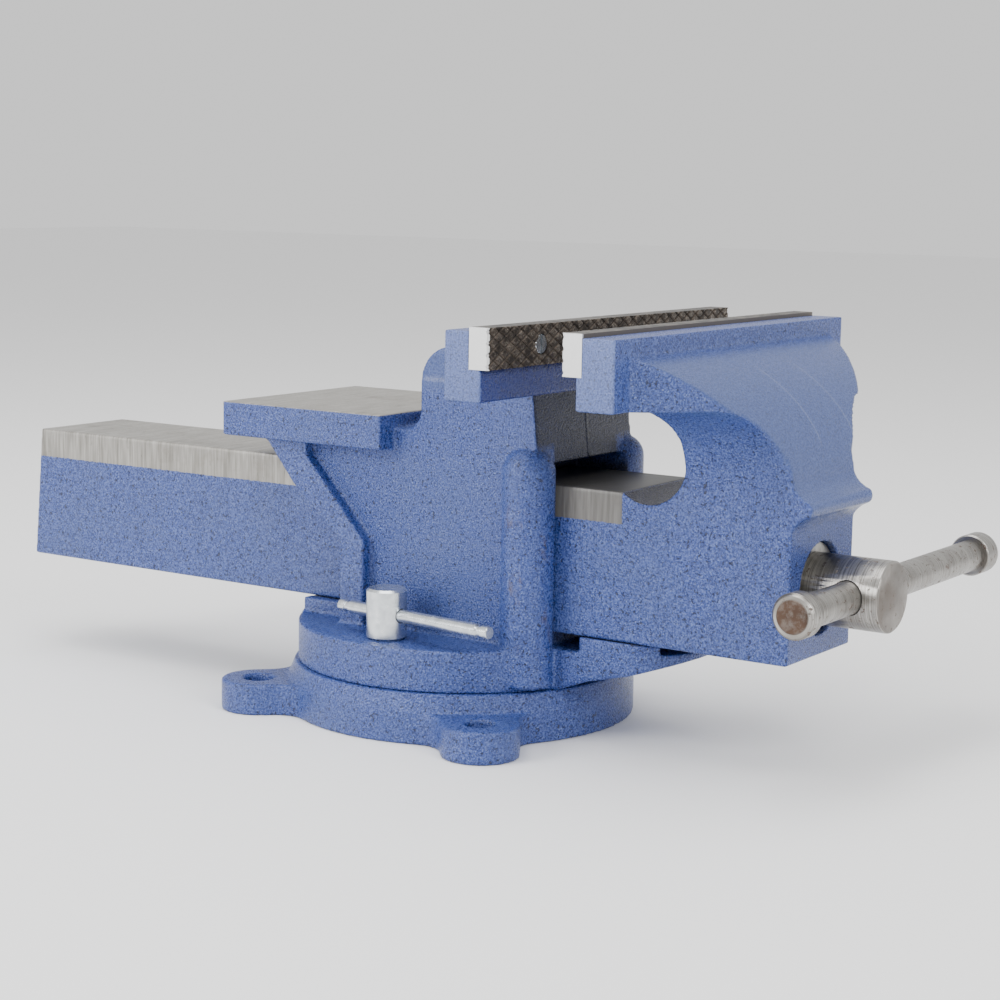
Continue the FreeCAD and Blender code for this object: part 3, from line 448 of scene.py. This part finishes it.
# %% title: enamel of each casting
SCRATCH_BLUE = (0.16, 0.20, 0.36)
THROAT_GRIME = (0.016, 0.013, 0.011)
# painted shade: near black for the inside of the slide's tunnel
PAINTED_SHADE_GUIDE = (0.012, 0.013, 0.018)
# painted shade: near black for the face behind the throat
PAINTED_SHADE_BLACK = (0.010, 0.011, 0.018)
# painted shade: deep blue for the face under the jaw plate
PAINTED_SHADE_BLUE = (0.006, 0.014, 0.120)
STAIN_YELLOW = (0.105, 0.070, 0.035)
enamel_slide = casting_paint("blue_enamel_moving_jaw", smooth_paint(brow_smooth),
                             # painted highlight on the jaw ends
                             tint(jaw_ends_painted_highlight, PAINTED_HIGHLIGHT_BLUE, 0.30),
                             tint(brow_scratches, SCRATCH_BLUE, 0.60),
                             machined(slide_bare, slide_oiled),
                             tint(throat_dark, THROAT_GRIME, 0.88))
enamel_body = casting_paint("blue_enamel_body", smooth_paint(brace_smooth),
                            # painted shade inside the slide's tunnel
                            tint(guide_painted_shade, PAINTED_SHADE_GUIDE, 0.85),
                            # painted shade on the face behind the throat
                            tint(block_painted_shade, PAINTED_SHADE_BLACK, 0.85),
                            # painted shade on the face under the jaw plate
                            tint(ledge_painted_shade, PAINTED_SHADE_BLUE, 0.78),
                            # painted highlight on the jaw ends
                            tint(jaw_ends_painted_highlight, PAINTED_HIGHLIGHT_BLUE, 0.30),
                            raised(parting_line, 1.6),
                            tint(pillar_stain, STAIN_YELLOW, 0.45), machined(anvil_bare))
enamel_base = casting_paint("blue_enamel_base")
print("enamel:", len(enamel_body.node_tree.nodes), "nodes on the body's finish")


# %% [markdown]
# ## Steel finishes
# Turned steel keeps fine rings around its axis and rusts first on faces that hands touch. Zinc is
# brighter and smoother. The jaw plates are hardened and left brown-black: the teeth are worn
# bright on their crests and the ends are ground.

# %% title: steel finishes
STEEL_DARK, STEEL_LIGHT = (0.21, 0.20, 0.185), (0.44, 0.425, 0.40)
STEEL_FILM = (0.14, 0.12, 0.10)
RUST_DARK, RUST_LIGHT = (0.050, 0.026, 0.015), (0.105, 0.058, 0.035)
PLATE_DARK, PLATE_BROWN = (0.035, 0.028, 0.023), (0.115, 0.090, 0.070)
GROOVE_BLACK = (0.010, 0.008, 0.007)
CREST_WORN = (0.42, 0.38, 0.33)
TOP_WORN = (0.30, 0.26, 0.22)
PLATE_REAR = (0.150, 0.132, 0.112)
GROUND_GREY = (0.70, 0.70, 0.70)
JAW_TOP = span("fixed_jaw_insert", Z)[1]
FIXED_FACE, FIXED_BACK = span("fixed_jaw_insert", Y)
PLATE_THICK = FIXED_BACK - FIXED_FACE
BAR_NEAR_END = span("handle_bar", X)[0]
HEAD_FRONT = span("spindle", Y)[0]


def turned_steel(name, axis, rusty=None):
    """Turned rings along x or y, with rust pits; rusty says where the rust closes up."""
    paint = Paint(name, (0.40, 0.38, 0.35), 0.34, 0.9)
    stretch = {"x": (3.0, 0.05, 0.05), "y": (0.05, 3.0, 0.05)}[axis]
    rings = paint.noise(stretch, detail=2.0)
    pits = paint.noise((0.34, 0.34, 0.34), detail=4.0, roughness=0.7, offset=(1, 4, 2))
    film = paint.noise((0.06, 0.06, 0.06), detail=3.0, offset=(4, 1, 1))
    steel = paint.mix(paint.mask(rings, 0.38, 0.62), STEEL_DARK, STEEL_LIGHT)
    steel = paint.mix(paint.times(paint.mask(film, 0.45, 0.70), 0.45), steel, STEEL_FILM)
    rust = paint.times(paint.mask(pits, 0.585, 0.64), 0.75)
    if rusty:
        patch = paint.times(rusty(paint), paint.blend(paint.mask(pits, 0.35, 0.55), 0.75, 1.0))
        rust = paint.math("MAXIMUM", rust, patch)
    brown = paint.mix(paint.mask(film, 0.35, 0.65), RUST_DARK, RUST_LIGHT)
    paint.colour(paint.mix(rust, steel, brown))
    paint.rough(paint.blend(rust, paint.blend(rings, 0.25, 0.40), 0.75))
    paint.metal(paint.blend(rust, 0.9, 0.25))
    paint.bump(paint.math("SUBTRACT", rings, paint.times(rust, 0.6)), 0.07)
    return paint.material


def bright_plate(name, dull, bright, low, high):
    """Plated or drawn metal with a soft film."""
    paint = Paint(name, bright, 0.3, 0.95)
    film = paint.noise((0.30, 0.30, 0.30), detail=3.0)
    paint.colour(paint.mix(paint.mask(film, 0.35, 0.70), dull, bright))
    paint.rough(paint.blend(film, low, high))
    return paint.material


def jaw_steel(name, face, way):
    """Hardened jaw plate; its teeth grip at the plane face, looking along way."""
    paint = Paint(name, (0.045, 0.036, 0.030), 0.42, 0.7)
    sunk = paint.times(paint.math("SUBTRACT", face, paint.y), way)
    film = paint.noise((0.22, 0.22, 0.22), detail=3.0, roughness=0.65)
    grit = paint.noise((1.6, 1.6, 1.6), detail=2.0)
    plate = paint.mix(paint.mask(film, 0.38, 0.66), PLATE_DARK, PLATE_BROWN)
    plate = paint.mix(paint.mask(sunk, 0.30, 0.65), plate, GROOVE_BLACK)
    crest = paint.all_of(paint.mask(sunk, 0.16, 0.04), paint.mask(grit, 0.50, 0.62),
                         paint.mask(film, 0.40, 0.55))
    plate = paint.mix(paint.times(crest, 0.55), plate, CREST_WORN)
    top = paint.all_of(paint.above(paint.z, JAW_TOP - 0.1, 0.3), paint.mask(film, 0.42, 0.60))
    plate = paint.mix(paint.times(top, 0.45), plate, TOP_WORN)
    plate = paint.mix(paint.above(sunk, PLATE_THICK - 0.1, 0.3), plate, PLATE_REAR)
    ground = paint.above(paint.from_middle, JAW_HALF - 0.7, 0.4)
    paint.colour(paint.mix(ground, plate, GROUND_GREY))
    paint.rough(paint.blend(ground, 0.42, 0.33))
    paint.bump(grit, 0.05)
    return paint.material


def bar_end(paint):
    """Near end face of the handle bar."""
    return paint.below(paint.x, BAR_NEAR_END + 0.2, 0.6)


def head_end(paint):
    """End face of the spindle's head."""
    return paint.times(paint.below(paint.y, HEAD_FRONT + 0.1, 1.0), 0.35)


steel_handle = turned_steel("turned_steel_handle", "x", bar_end)
steel_knob = turned_steel("turned_steel_knobs", "x")
steel_spindle = turned_steel("turned_steel_spindle", "y", head_end)
zinc = bright_plate("zinc_plate", (0.56, 0.59, 0.62), (0.74, 0.77, 0.79), 0.22, 0.30)
bright_steel = bright_plate("bright_steel", (0.33, 0.32, 0.30), (0.55, 0.54, 0.52), 0.22, 0.38)
spring_steel = bright_plate("spring_steel", (0.05, 0.05, 0.055), (0.13, 0.13, 0.14), 0.30, 0.45)
bare_iron = bright_plate("bare_cast_iron", (0.13, 0.125, 0.12), (0.22, 0.21, 0.20), 0.50, 0.65)
print("steel finishes ready")

# %% [markdown]
# ## Studio
# The vise stands on a pale floor under three soft lamps: to its left and behind it, in front of
# the handle, and overhead. It is seen from its left front corner, from a little above the jaws. A
# camera looks along its own -Z, so its turn, tilt and slight roll are turned into three axes and
# set as a matrix. White surroundings light the metal from all sides, which would otherwise reflect
# black.

# %% title: camera, floor and light
CAMERA_PLACE = Vector((-0.80984, -0.56784, 0.24353))
CAMERA_TURN, CAMERA_TILT, CAMERA_ROLL = (math.radians(angle) for angle in (-55.93, 8.51, 0.894))
FLOOR_HALF = 6
FLOOR_GAP = 0.0002
camera_data = bpy.data.cameras.new("studio_camera")
camera_data.sensor_width = 36.0
camera_data.lens = 78.27
camera_data.clip_start = 0.05
camera = bpy.data.objects.new("studio_camera", camera_data)
scene.collection.objects.link(camera)
back = Vector((math.sin(CAMERA_TURN) * math.cos(CAMERA_TILT),
               -math.cos(CAMERA_TURN) * math.cos(CAMERA_TILT), math.sin(CAMERA_TILT)))
level = (-back).cross(Vector((0, 0, 1))).normalized()
upright = level.cross(-back).normalized()
right = math.cos(CAMERA_ROLL) * level + math.sin(CAMERA_ROLL) * upright
up = -math.sin(CAMERA_ROLL) * level + math.cos(CAMERA_ROLL) * upright
camera.matrix_world = Matrix((
    (right.x, up.x, back.x, CAMERA_PLACE.x),
    (right.y, up.y, back.y, CAMERA_PLACE.y),
    (right.z, up.z, back.z, CAMERA_PLACE.z),
    (0, 0, 0, 1)))
scene.camera = camera


def softbox(name, place, target, size, power):
    """Area light of the given width and height, aimed at a point."""
    light = bpy.data.lights.new(name, "AREA")
    light.shape = "RECTANGLE"
    light.size, light.size_y = size
    light.energy = power
    light.color = (1, 1, 1)
    lamp = bpy.data.objects.new(name, light)
    scene.collection.objects.link(lamp)
    lamp.location = place
    lamp.rotation_euler = (Vector(target) - Vector(place)).to_track_quat("-Z", "Y").to_euler()


middle = (0, 0, 0.08)
softbox("left_softbox", place=(-1.4, 0.75, 0.80), target=middle, size=(0.7, 1.0), power=22)
softbox("right_softbox", place=(-0.55, -1.5, 0.95), target=middle, size=(0.6, 0.9), power=13)
softbox("top_softbox", place=(-0.1, 0.1, 1.6), target=middle, size=(1.2, 1.2), power=20)

world = bpy.data.worlds.new("studio_air")
world.use_nodes = True
world.node_tree.nodes["Background"].inputs["Color"].default_value = (1.0, 1.0, 1.0, 1)
world.node_tree.nodes["Background"].inputs["Strength"].default_value = 0.95
scene.world = world

floor_mesh = bpy.data.meshes.new("studio_floor")
corners = [(x * FLOOR_HALF, y * FLOOR_HALF, 0) for x, y in ((-1, -1), (1, -1), (1, 1), (-1, 1))]
floor_mesh.from_pydata(corners, [], [(0, 1, 2, 3)])
floor = bpy.data.objects.new("studio_floor", floor_mesh)
scene.collection.objects.link(floor)
floor.location.z = -FLOOR_GAP
floor_paint = Paint("white_floor", (0.93, 0.93, 0.93), 0.7)
floor_mesh.materials.append(floor_paint.material)
print("camera at", [round(v, 3) for v in camera.location])


# %% [markdown]
# ## Castings
# A sand casting has no sharp edges: the pattern is rounded so that the sand holds together, crooks
# are filled for the same reason, and thick enamel softens what is left. So each CAD casting is
# turned into an even skin of small cells, the skin is relaxed a few times, and the cells that lie
# on flat faces are thinned out again. Outer edges and inner corners come out rounded by about
# the same radius, everywhere at once, which is how a real casting looks.

# %% title: castings with rounded edges
def finish_piece(obj, body, slot, *replaced):
    """Put a piece on its body and hide the CAD nodes that it replaces; slot, its finish, is not
    used.
    """
    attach(obj, body)
    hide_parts(*replaced)
    report(obj)


def settled(obj):
    """Object's mesh with its modifiers worked in, and the modifiers gone."""
    bpy.context.view_layer.update()
    graph = bpy.context.evaluated_depsgraph_get()
    mesh = bpy.data.meshes.new_from_object(obj.evaluated_get(graph))
    obj.modifiers.clear()
    old = obj.data
    obj.data = mesh
    bpy.data.meshes.remove(old)
    return obj


def painted(obj, material):
    obj.data.materials.clear()
    obj.data.materials.append(material)
    return obj


def cast_skin(node, name, material, cell, rounds, triangles):
    """Casting with every edge and crook rounded, made of at most the given number of triangles."""
    obj = bpy.data.objects.new(name, nodes[node].data.copy())
    scene.collection.objects.link(obj)
    skin = obj.modifiers.new("skin", "REMESH")
    skin.mode = "VOXEL"
    skin.voxel_size = cell * MM
    relax = obj.modifiers.new("relax", "SMOOTH")
    relax.factor = 0.5
    relax.iterations = rounds
    settled(obj)
    share = triangles / (2 * len(obj.data.polygons))
    if share < 1:
        thin = obj.modifiers.new("thin", "DECIMATE")
        thin.ratio = share
        settled(obj)
    obj.data.shade_smooth()
    return painted(obj, material)


base = cast_skin("base_ring", "swivel_base", enamel_base, 0.7, 6, 120000)
finish_piece(base, "base", "casting", "base_ring")
body = cast_skin("body_casting", "vise_body", enamel_body, 0.8, 5, 190000)
finish_piece(body, "body", "casting", "body_casting")
jaw = cast_skin("moving_jaw_casting", "moving_jaw", enamel_slide, 0.8, 3, 190000)
finish_piece(jaw, "moving_jaw", "casting", "moving_jaw_casting")

# %% [markdown]
# ## Shapes that repeat by a rule
# The jaw plates are cross-hatched by two sets of slanting grooves, and the spindle carries one
# groove wound around it. Both are rules, so Geometry Nodes draws them: a fine grid is laid out, and
# the distance of each point from the nearest groove says how deep it sinks.

# %% title: geometry node helper
class Rule:
    """Geometry node group with named inputs, ending in one mesh and its material."""

    def __init__(self, name):
        self.tree = bpy.data.node_groups.new(name, "GeometryNodeTree")
        self.tree.interface.new_socket("Mesh", in_out="OUTPUT", socket_type="NodeSocketGeometry")
        self.entry = self.tree.nodes.new("NodeGroupInput")
        self.inputs = {}

    def given(self, name, whole=False):
        kind = "NodeSocketInt" if whole else "NodeSocketFloat"
        socket = self.tree.interface.new_socket(name, in_out="INPUT", socket_type=kind)
        self.inputs[name] = socket.identifier
        return self.entry.outputs[name]

    def add(self, kind, links=None, **settings):
        node = self.tree.nodes.new(kind)
        for key, value in settings.items():
            setattr(node, key, value)
        for key, value in (links or {}).items():
            if isinstance(value, bpy.types.NodeSocket):
                self.tree.links.new(value, node.inputs[key])
            else:
                node.inputs[key].default_value = value
        return node

    def math(self, operation, first, second=0.0):
        return self.add("ShaderNodeMath", {0: first, 1: second}, operation=operation).outputs[0]

    def times(self, first, second):
        return self.math("MULTIPLY", first, second)

    def point(self, x, y, z):
        return self.add("ShaderNodeCombineXYZ", {0: x, 1: y, 2: z}).outputs[0]

    def finish(self, mesh, material):
        real = self.add("GeometryNodeRealizeInstances", {"Geometry": mesh})
        coat = self.add("GeometryNodeSetMaterial", {"Geometry": real.outputs[0]})
        coat.inputs["Material"].default_value = material
        out = self.add("NodeGroupOutput")
        self.tree.links.new(coat.outputs[0], out.inputs[0])

    def grow(self, name, **values):
        """Object made by the group with these input values: metres, radians or counts."""
        obj = bpy.data.objects.new(name, bpy.data.meshes.new(name))
        scene.collection.objects.link(obj)
        grower = obj.modifiers.new("rule", "NODES")
        grower.node_group = self.tree
        for key, value in values.items():
            grower[self.inputs[key]] = value
        return settled(obj)


# %% [markdown]
# ## Jaw plates
# Each plate starts as a grid in its back plane, with the two screw holes left out. It is thickened
# up to the plane of the teeth, then that front is hatched and its two ends are ground off at a
# slant. The grooves only sink below the front, so the closed jaws still meet flat.

# %% title: cross-hatched jaw plates
PLATE_LONG = 2 * JAW_HALF
PLATE_TALL = JAW_TOP - span("fixed_jaw_insert", Z)[0]
MOVING_BACK, MOVING_FACE = span("moving_jaw_insert", Y)
HOLE_RADIUS = 4.3
HOLE_REACH = 61.0
RIM_WIDTH = 0.36
TOOTH_PITCH = 4.0
TOOTH_SLANT = math.radians(30)
GROOVE_HALF = 0.60
GROOVE_DEPTH = 0.7
END_SLOPE = 0.8
GRID_COLUMNS, GRID_ROWS = 445, 39
WELD = 0.002


def jaw_plate(name, back, face, material):
    """Closed plate from its back plane to the plane of its teeth."""
    rule = Rule(f"{name}_hatching")
    length, height, thick = rule.given("length"), rule.given("height"), rule.given("thick")
    across, along = rule.given("columns", True), rule.given("rows", True)
    pitch, slant, half_groove = rule.given("pitch"), rule.given("slant"), rule.given("half_groove")
    sunk, slope = rule.given("groove_depth"), rule.given("end_slope")
    hole, reach = rule.given("hole_radius"), rule.given("hole_reach")
    grid = rule.add("GeometryNodeMeshGrid", {"Size X": length, "Size Y": height,
                                             "Vertices X": across, "Vertices Y": along})
    place = rule.add("GeometryNodeInputPosition").outputs[0]
    split = rule.add("ShaderNodeSeparateXYZ", {0: place}).outputs
    u, v = split[0], split[1]
    side = rule.math("SIGN", u)
    off = rule.math("SUBTRACT", u, rule.times(side, reach))
    distance = rule.math("SQRT", rule.math("ADD", rule.times(off, off), rule.times(v, v)))
    inside = rule.math("LESS_THAN", distance, hole)
    holed = rule.add("GeometryNodeDeleteGeometry", {
        "Geometry": grid.outputs["Mesh"], "Selection": inside}, domain="FACE").outputs[0]
    rim = rule.math("LESS_THAN", distance, rule.math("ADD", hole, RIM_WIDTH * MM))
    pull = rule.math("DIVIDE", hole, rule.math("MAXIMUM", distance, 0.1 * MM))
    on_rim = rule.point(rule.math("ADD", rule.times(side, reach), rule.times(off, pull)),
                        rule.times(v, pull), 0.0)
    round_holes = rule.add("GeometryNodeSetPosition", {"Geometry": holed, "Selection": rim,
                                                       "Position": on_rim}).outputs[0]
    raised = rule.add("GeometryNodeExtrudeMesh", {
        "Mesh": round_holes, "Offset": rule.point(0, 0, thick), "Offset Scale": 1.0,
        "Individual": False})
    deepest = None
    for way in (1.0, -1.0):
        turned = rule.math("ADD", rule.times(u, rule.math("SINE", slant)),
                           rule.times(rule.times(v, rule.math("COSINE", slant)), way))
        turn = rule.math("FRACT", rule.math("DIVIDE", turned, pitch))
        from_half = rule.math("ABSOLUTE", rule.math("SUBTRACT", turn, 0.5))
        nearest = rule.math("SUBTRACT", 0.5, from_half)
        share = rule.math("DIVIDE", rule.times(nearest, pitch), half_groove)
        groove = rule.math("MAXIMUM", rule.math("SUBTRACT", 1.0, share), 0.0)
        deepest = groove if deepest is None else rule.math("MAXIMUM", deepest, groove)
    shoulder = rule.math("SUBTRACT", rule.math("DIVIDE", length, 2.0), slope)
    end = rule.math("SUBTRACT", rule.math("ABSOLUTE", u), shoulder)
    sink = rule.math("ADD", rule.times(deepest, sunk), rule.math("MAXIMUM", end, 0.0))
    hatched = rule.add("GeometryNodeSetPosition", {
        "Geometry": raised.outputs["Mesh"], "Selection": raised.outputs["Top"],
        "Offset": rule.point(0, 0, rule.times(sink, -1.0))}).outputs[0]
    rear = rule.add("GeometryNodeFlipFaces", {"Mesh": round_holes}).outputs[0]
    both = rule.add("GeometryNodeJoinGeometry")
    rule.tree.links.new(hatched, both.inputs[0])
    rule.tree.links.new(rear, both.inputs[0])
    closed = rule.add("GeometryNodeMergeByDistance", {
        "Geometry": both.outputs[0], "Distance": WELD * MM})
    turned_to = (math.pi / 2, 0, math.pi if face > back else 0)
    placed = rule.add("GeometryNodeTransform", {
        "Geometry": closed.outputs[0], "Rotation": turned_to,
        "Translation": (0, back * MM, (JAW_TOP - PLATE_TALL / 2) * MM)}).outputs[0]
    rule.finish(placed, material)
    return rule.grow(name, length=PLATE_LONG * MM, height=PLATE_TALL * MM,
                     thick=abs(face - back) * MM, columns=GRID_COLUMNS, rows=GRID_ROWS,
                     pitch=TOOTH_PITCH * MM, slant=TOOTH_SLANT, half_groove=GROOVE_HALF * MM,
                     groove_depth=GROOVE_DEPTH * MM, end_slope=END_SLOPE * MM,
                     hole_radius=HOLE_RADIUS * MM, hole_reach=HOLE_REACH * MM)


fixed_plate = jaw_plate("fixed_jaw_plate", FIXED_BACK, FIXED_FACE,
                        jaw_steel("jaw_steel_fixed", FIXED_FACE, -1.0))
finish_piece(fixed_plate, "body", "jaw_steel", "fixed_jaw_insert")
moving_plate = jaw_plate("moving_jaw_plate", MOVING_BACK, MOVING_FACE,
                         jaw_steel("jaw_steel_moving", MOVING_FACE, 1.0))
finish_piece(moving_plate, "moving_jaw", "jaw_steel", "moving_jaw_insert")


# %% [markdown]
# ## Spindle
# The screw is turned from one bar: a round head with a cross hole for the handle, a plain neck that
# turns in the front wall, then a single thread with slanting flanks that advances five millimetres
# a turn. The head and neck come from the CAD solid, cut where the thread begins; the thread is a
# grid rolled into a tube whose radius follows the groove around it. The neck is turned down a
# little, so that it runs free in the rounded casting.

# %% title: spindle with its thread
THREAD_START = -140.0
THREAD_END = span("spindle", Y)[1]
AXIS_HEIGHT = sum(span("spindle", Z)) / 2
LEAD = 5.0
CREST = 12.0
ROOT = 9.8
NECK = 11.7
LAND, FLANK = 0.19, 0.29
STATIONS, SIDES = 700, 49


def thread_rule(material):
    """Threaded rod along Y: a grid rolled into a tube, closed at both ends."""
    rule = Rule("spindle_thread_rule")
    start, end, crest = rule.given("start"), rule.given("end"), rule.given("crest")
    root, lead, axis = rule.given("root"), rule.given("lead"), rule.given("axis_height")
    along, around = rule.given("stations", True), rule.given("sides", True)
    grid = rule.add("GeometryNodeMeshGrid", {
        "Size X": 1.0, "Size Y": 1.0, "Vertices X": along, "Vertices Y": around}).outputs["Mesh"]
    place = rule.add("GeometryNodeInputPosition").outputs[0]
    split = rule.add("ShaderNodeSeparateXYZ", {0: place}).outputs
    run = rule.math("ADD", split[0], 0.5)
    turn = rule.math("ADD", split[1], 0.5)
    y = rule.math("ADD", start, rule.times(run, rule.math("SUBTRACT", end, start)))
    turns = rule.math("ADD", rule.math("DIVIDE", y, lead), rule.math("ADD", turn, 100.0))
    phase = rule.math("FRACT", turns)
    from_crest = rule.math("ABSOLUTE", rule.math("SUBTRACT", phase, 0.5))
    flank = rule.add("ShaderNodeMapRange", {
        "Value": from_crest, "From Min": LAND, "From Max": FLANK,
        "To Min": crest, "To Max": root}).outputs[0]
    capped = rule.math("GREATER_THAN", rule.math("ABSOLUTE", split[0]), 0.4999)
    radius = rule.times(flank, rule.math("SUBTRACT", 1.0, capped))
    angle = rule.times(turn, 2 * math.pi)
    rolled = rule.point(rule.times(radius, rule.math("COSINE", angle)), y,
                        rule.math("ADD", axis, rule.times(radius, rule.math("SINE", angle))))
    tube = rule.add("GeometryNodeSetPosition", {"Geometry": grid, "Position": rolled}).outputs[0]
    closed = rule.add("GeometryNodeMergeByDistance", {"Geometry": tube, "Distance": WELD * MM})
    rule.finish(closed.outputs[0], material)
    return rule


thread = thread_rule(steel_spindle).grow(
    "spindle_thread", start=THREAD_START * MM, end=THREAD_END * MM, crest=CREST * MM,
    root=ROOT * MM, lead=LEAD * MM, axis_height=AXIS_HEIGHT * MM, stations=STATIONS, sides=SIDES)
work = bmesh.new()
work.from_mesh(nodes["spindle"].data)
bmesh.ops.remove_doubles(work, verts=work.verts, dist=WELD * MM)
bmesh.ops.bisect_plane(work, geom=work.verts[:] + work.edges[:] + work.faces[:],
                       plane_co=(0, THREAD_START * MM, 0), plane_no=(0, 1, 0), clear_outer=True)
for vert in work.verts:
    spoke = Vector((vert.co.x, 0, vert.co.z - AXIS_HEIGHT * MM))
    if abs(spoke.length / MM - CREST) < 0.05:
        vert.co -= spoke * (1 - NECK / CREST)
open_rim = [edge for edge in work.edges if edge.is_boundary]
bmesh.ops.holes_fill(work, edges=open_rim, sides=0)
work.from_mesh(thread.data)
spindle_mesh = bpy.data.meshes.new("spindle_with_thread")
work.to_mesh(spindle_mesh)
work.free()
bpy.data.objects.remove(thread)
spindle_piece = painted(bpy.data.objects.new("spindle_with_thread", spindle_mesh), steel_spindle)
scene.collection.objects.link(spindle_piece)
spindle_mesh.shade_smooth()
spindle_mesh.set_sharp_from_angle(angle=math.radians(30))
finish_piece(spindle_piece, "spindle", "turned_steel", "spindle")

# %% [markdown]
# ## Hardware finishes
# The rest of the hardware keeps its CAD shape, which is already what a lathe or a press would
# leave, and gets the finish that its maker would give it: turned steel on the handle, zinc on the
# swivel's lock screws and bars and on the jaw screws, bright steel on the washers and the cotter
# pin, dark steel on the spring and the nut's bolt, bare iron on the nut and the clamp plate.

# %% title: hardware finishes
FINISHES = {
    "handle_bar": steel_handle, "handle_knob_near": steel_knob, "handle_knob_far": steel_knob,
    "thrust_washer": bright_steel, "spring_washer": bright_steel, "cotter_pin": bright_steel,
    "spindle_spring": spring_steel, "spindle_nut": bare_iron, "swivel_clamp_plate": bare_iron,
    "nut_bolt": spring_steel,
    "lock_screw_left": zinc, "lock_screw_right": zinc,
    "lock_bar_left": zinc, "lock_bar_right": zinc,
    "fixed_insert_screw_left": zinc, "fixed_insert_screw_right": zinc,
    "moving_insert_screw_left": zinc, "moving_insert_screw_right": zinc,
}
for name, finish in FINISHES.items():
    painted(nodes[name], finish)
print("finished nodes:", len(FINISHES))
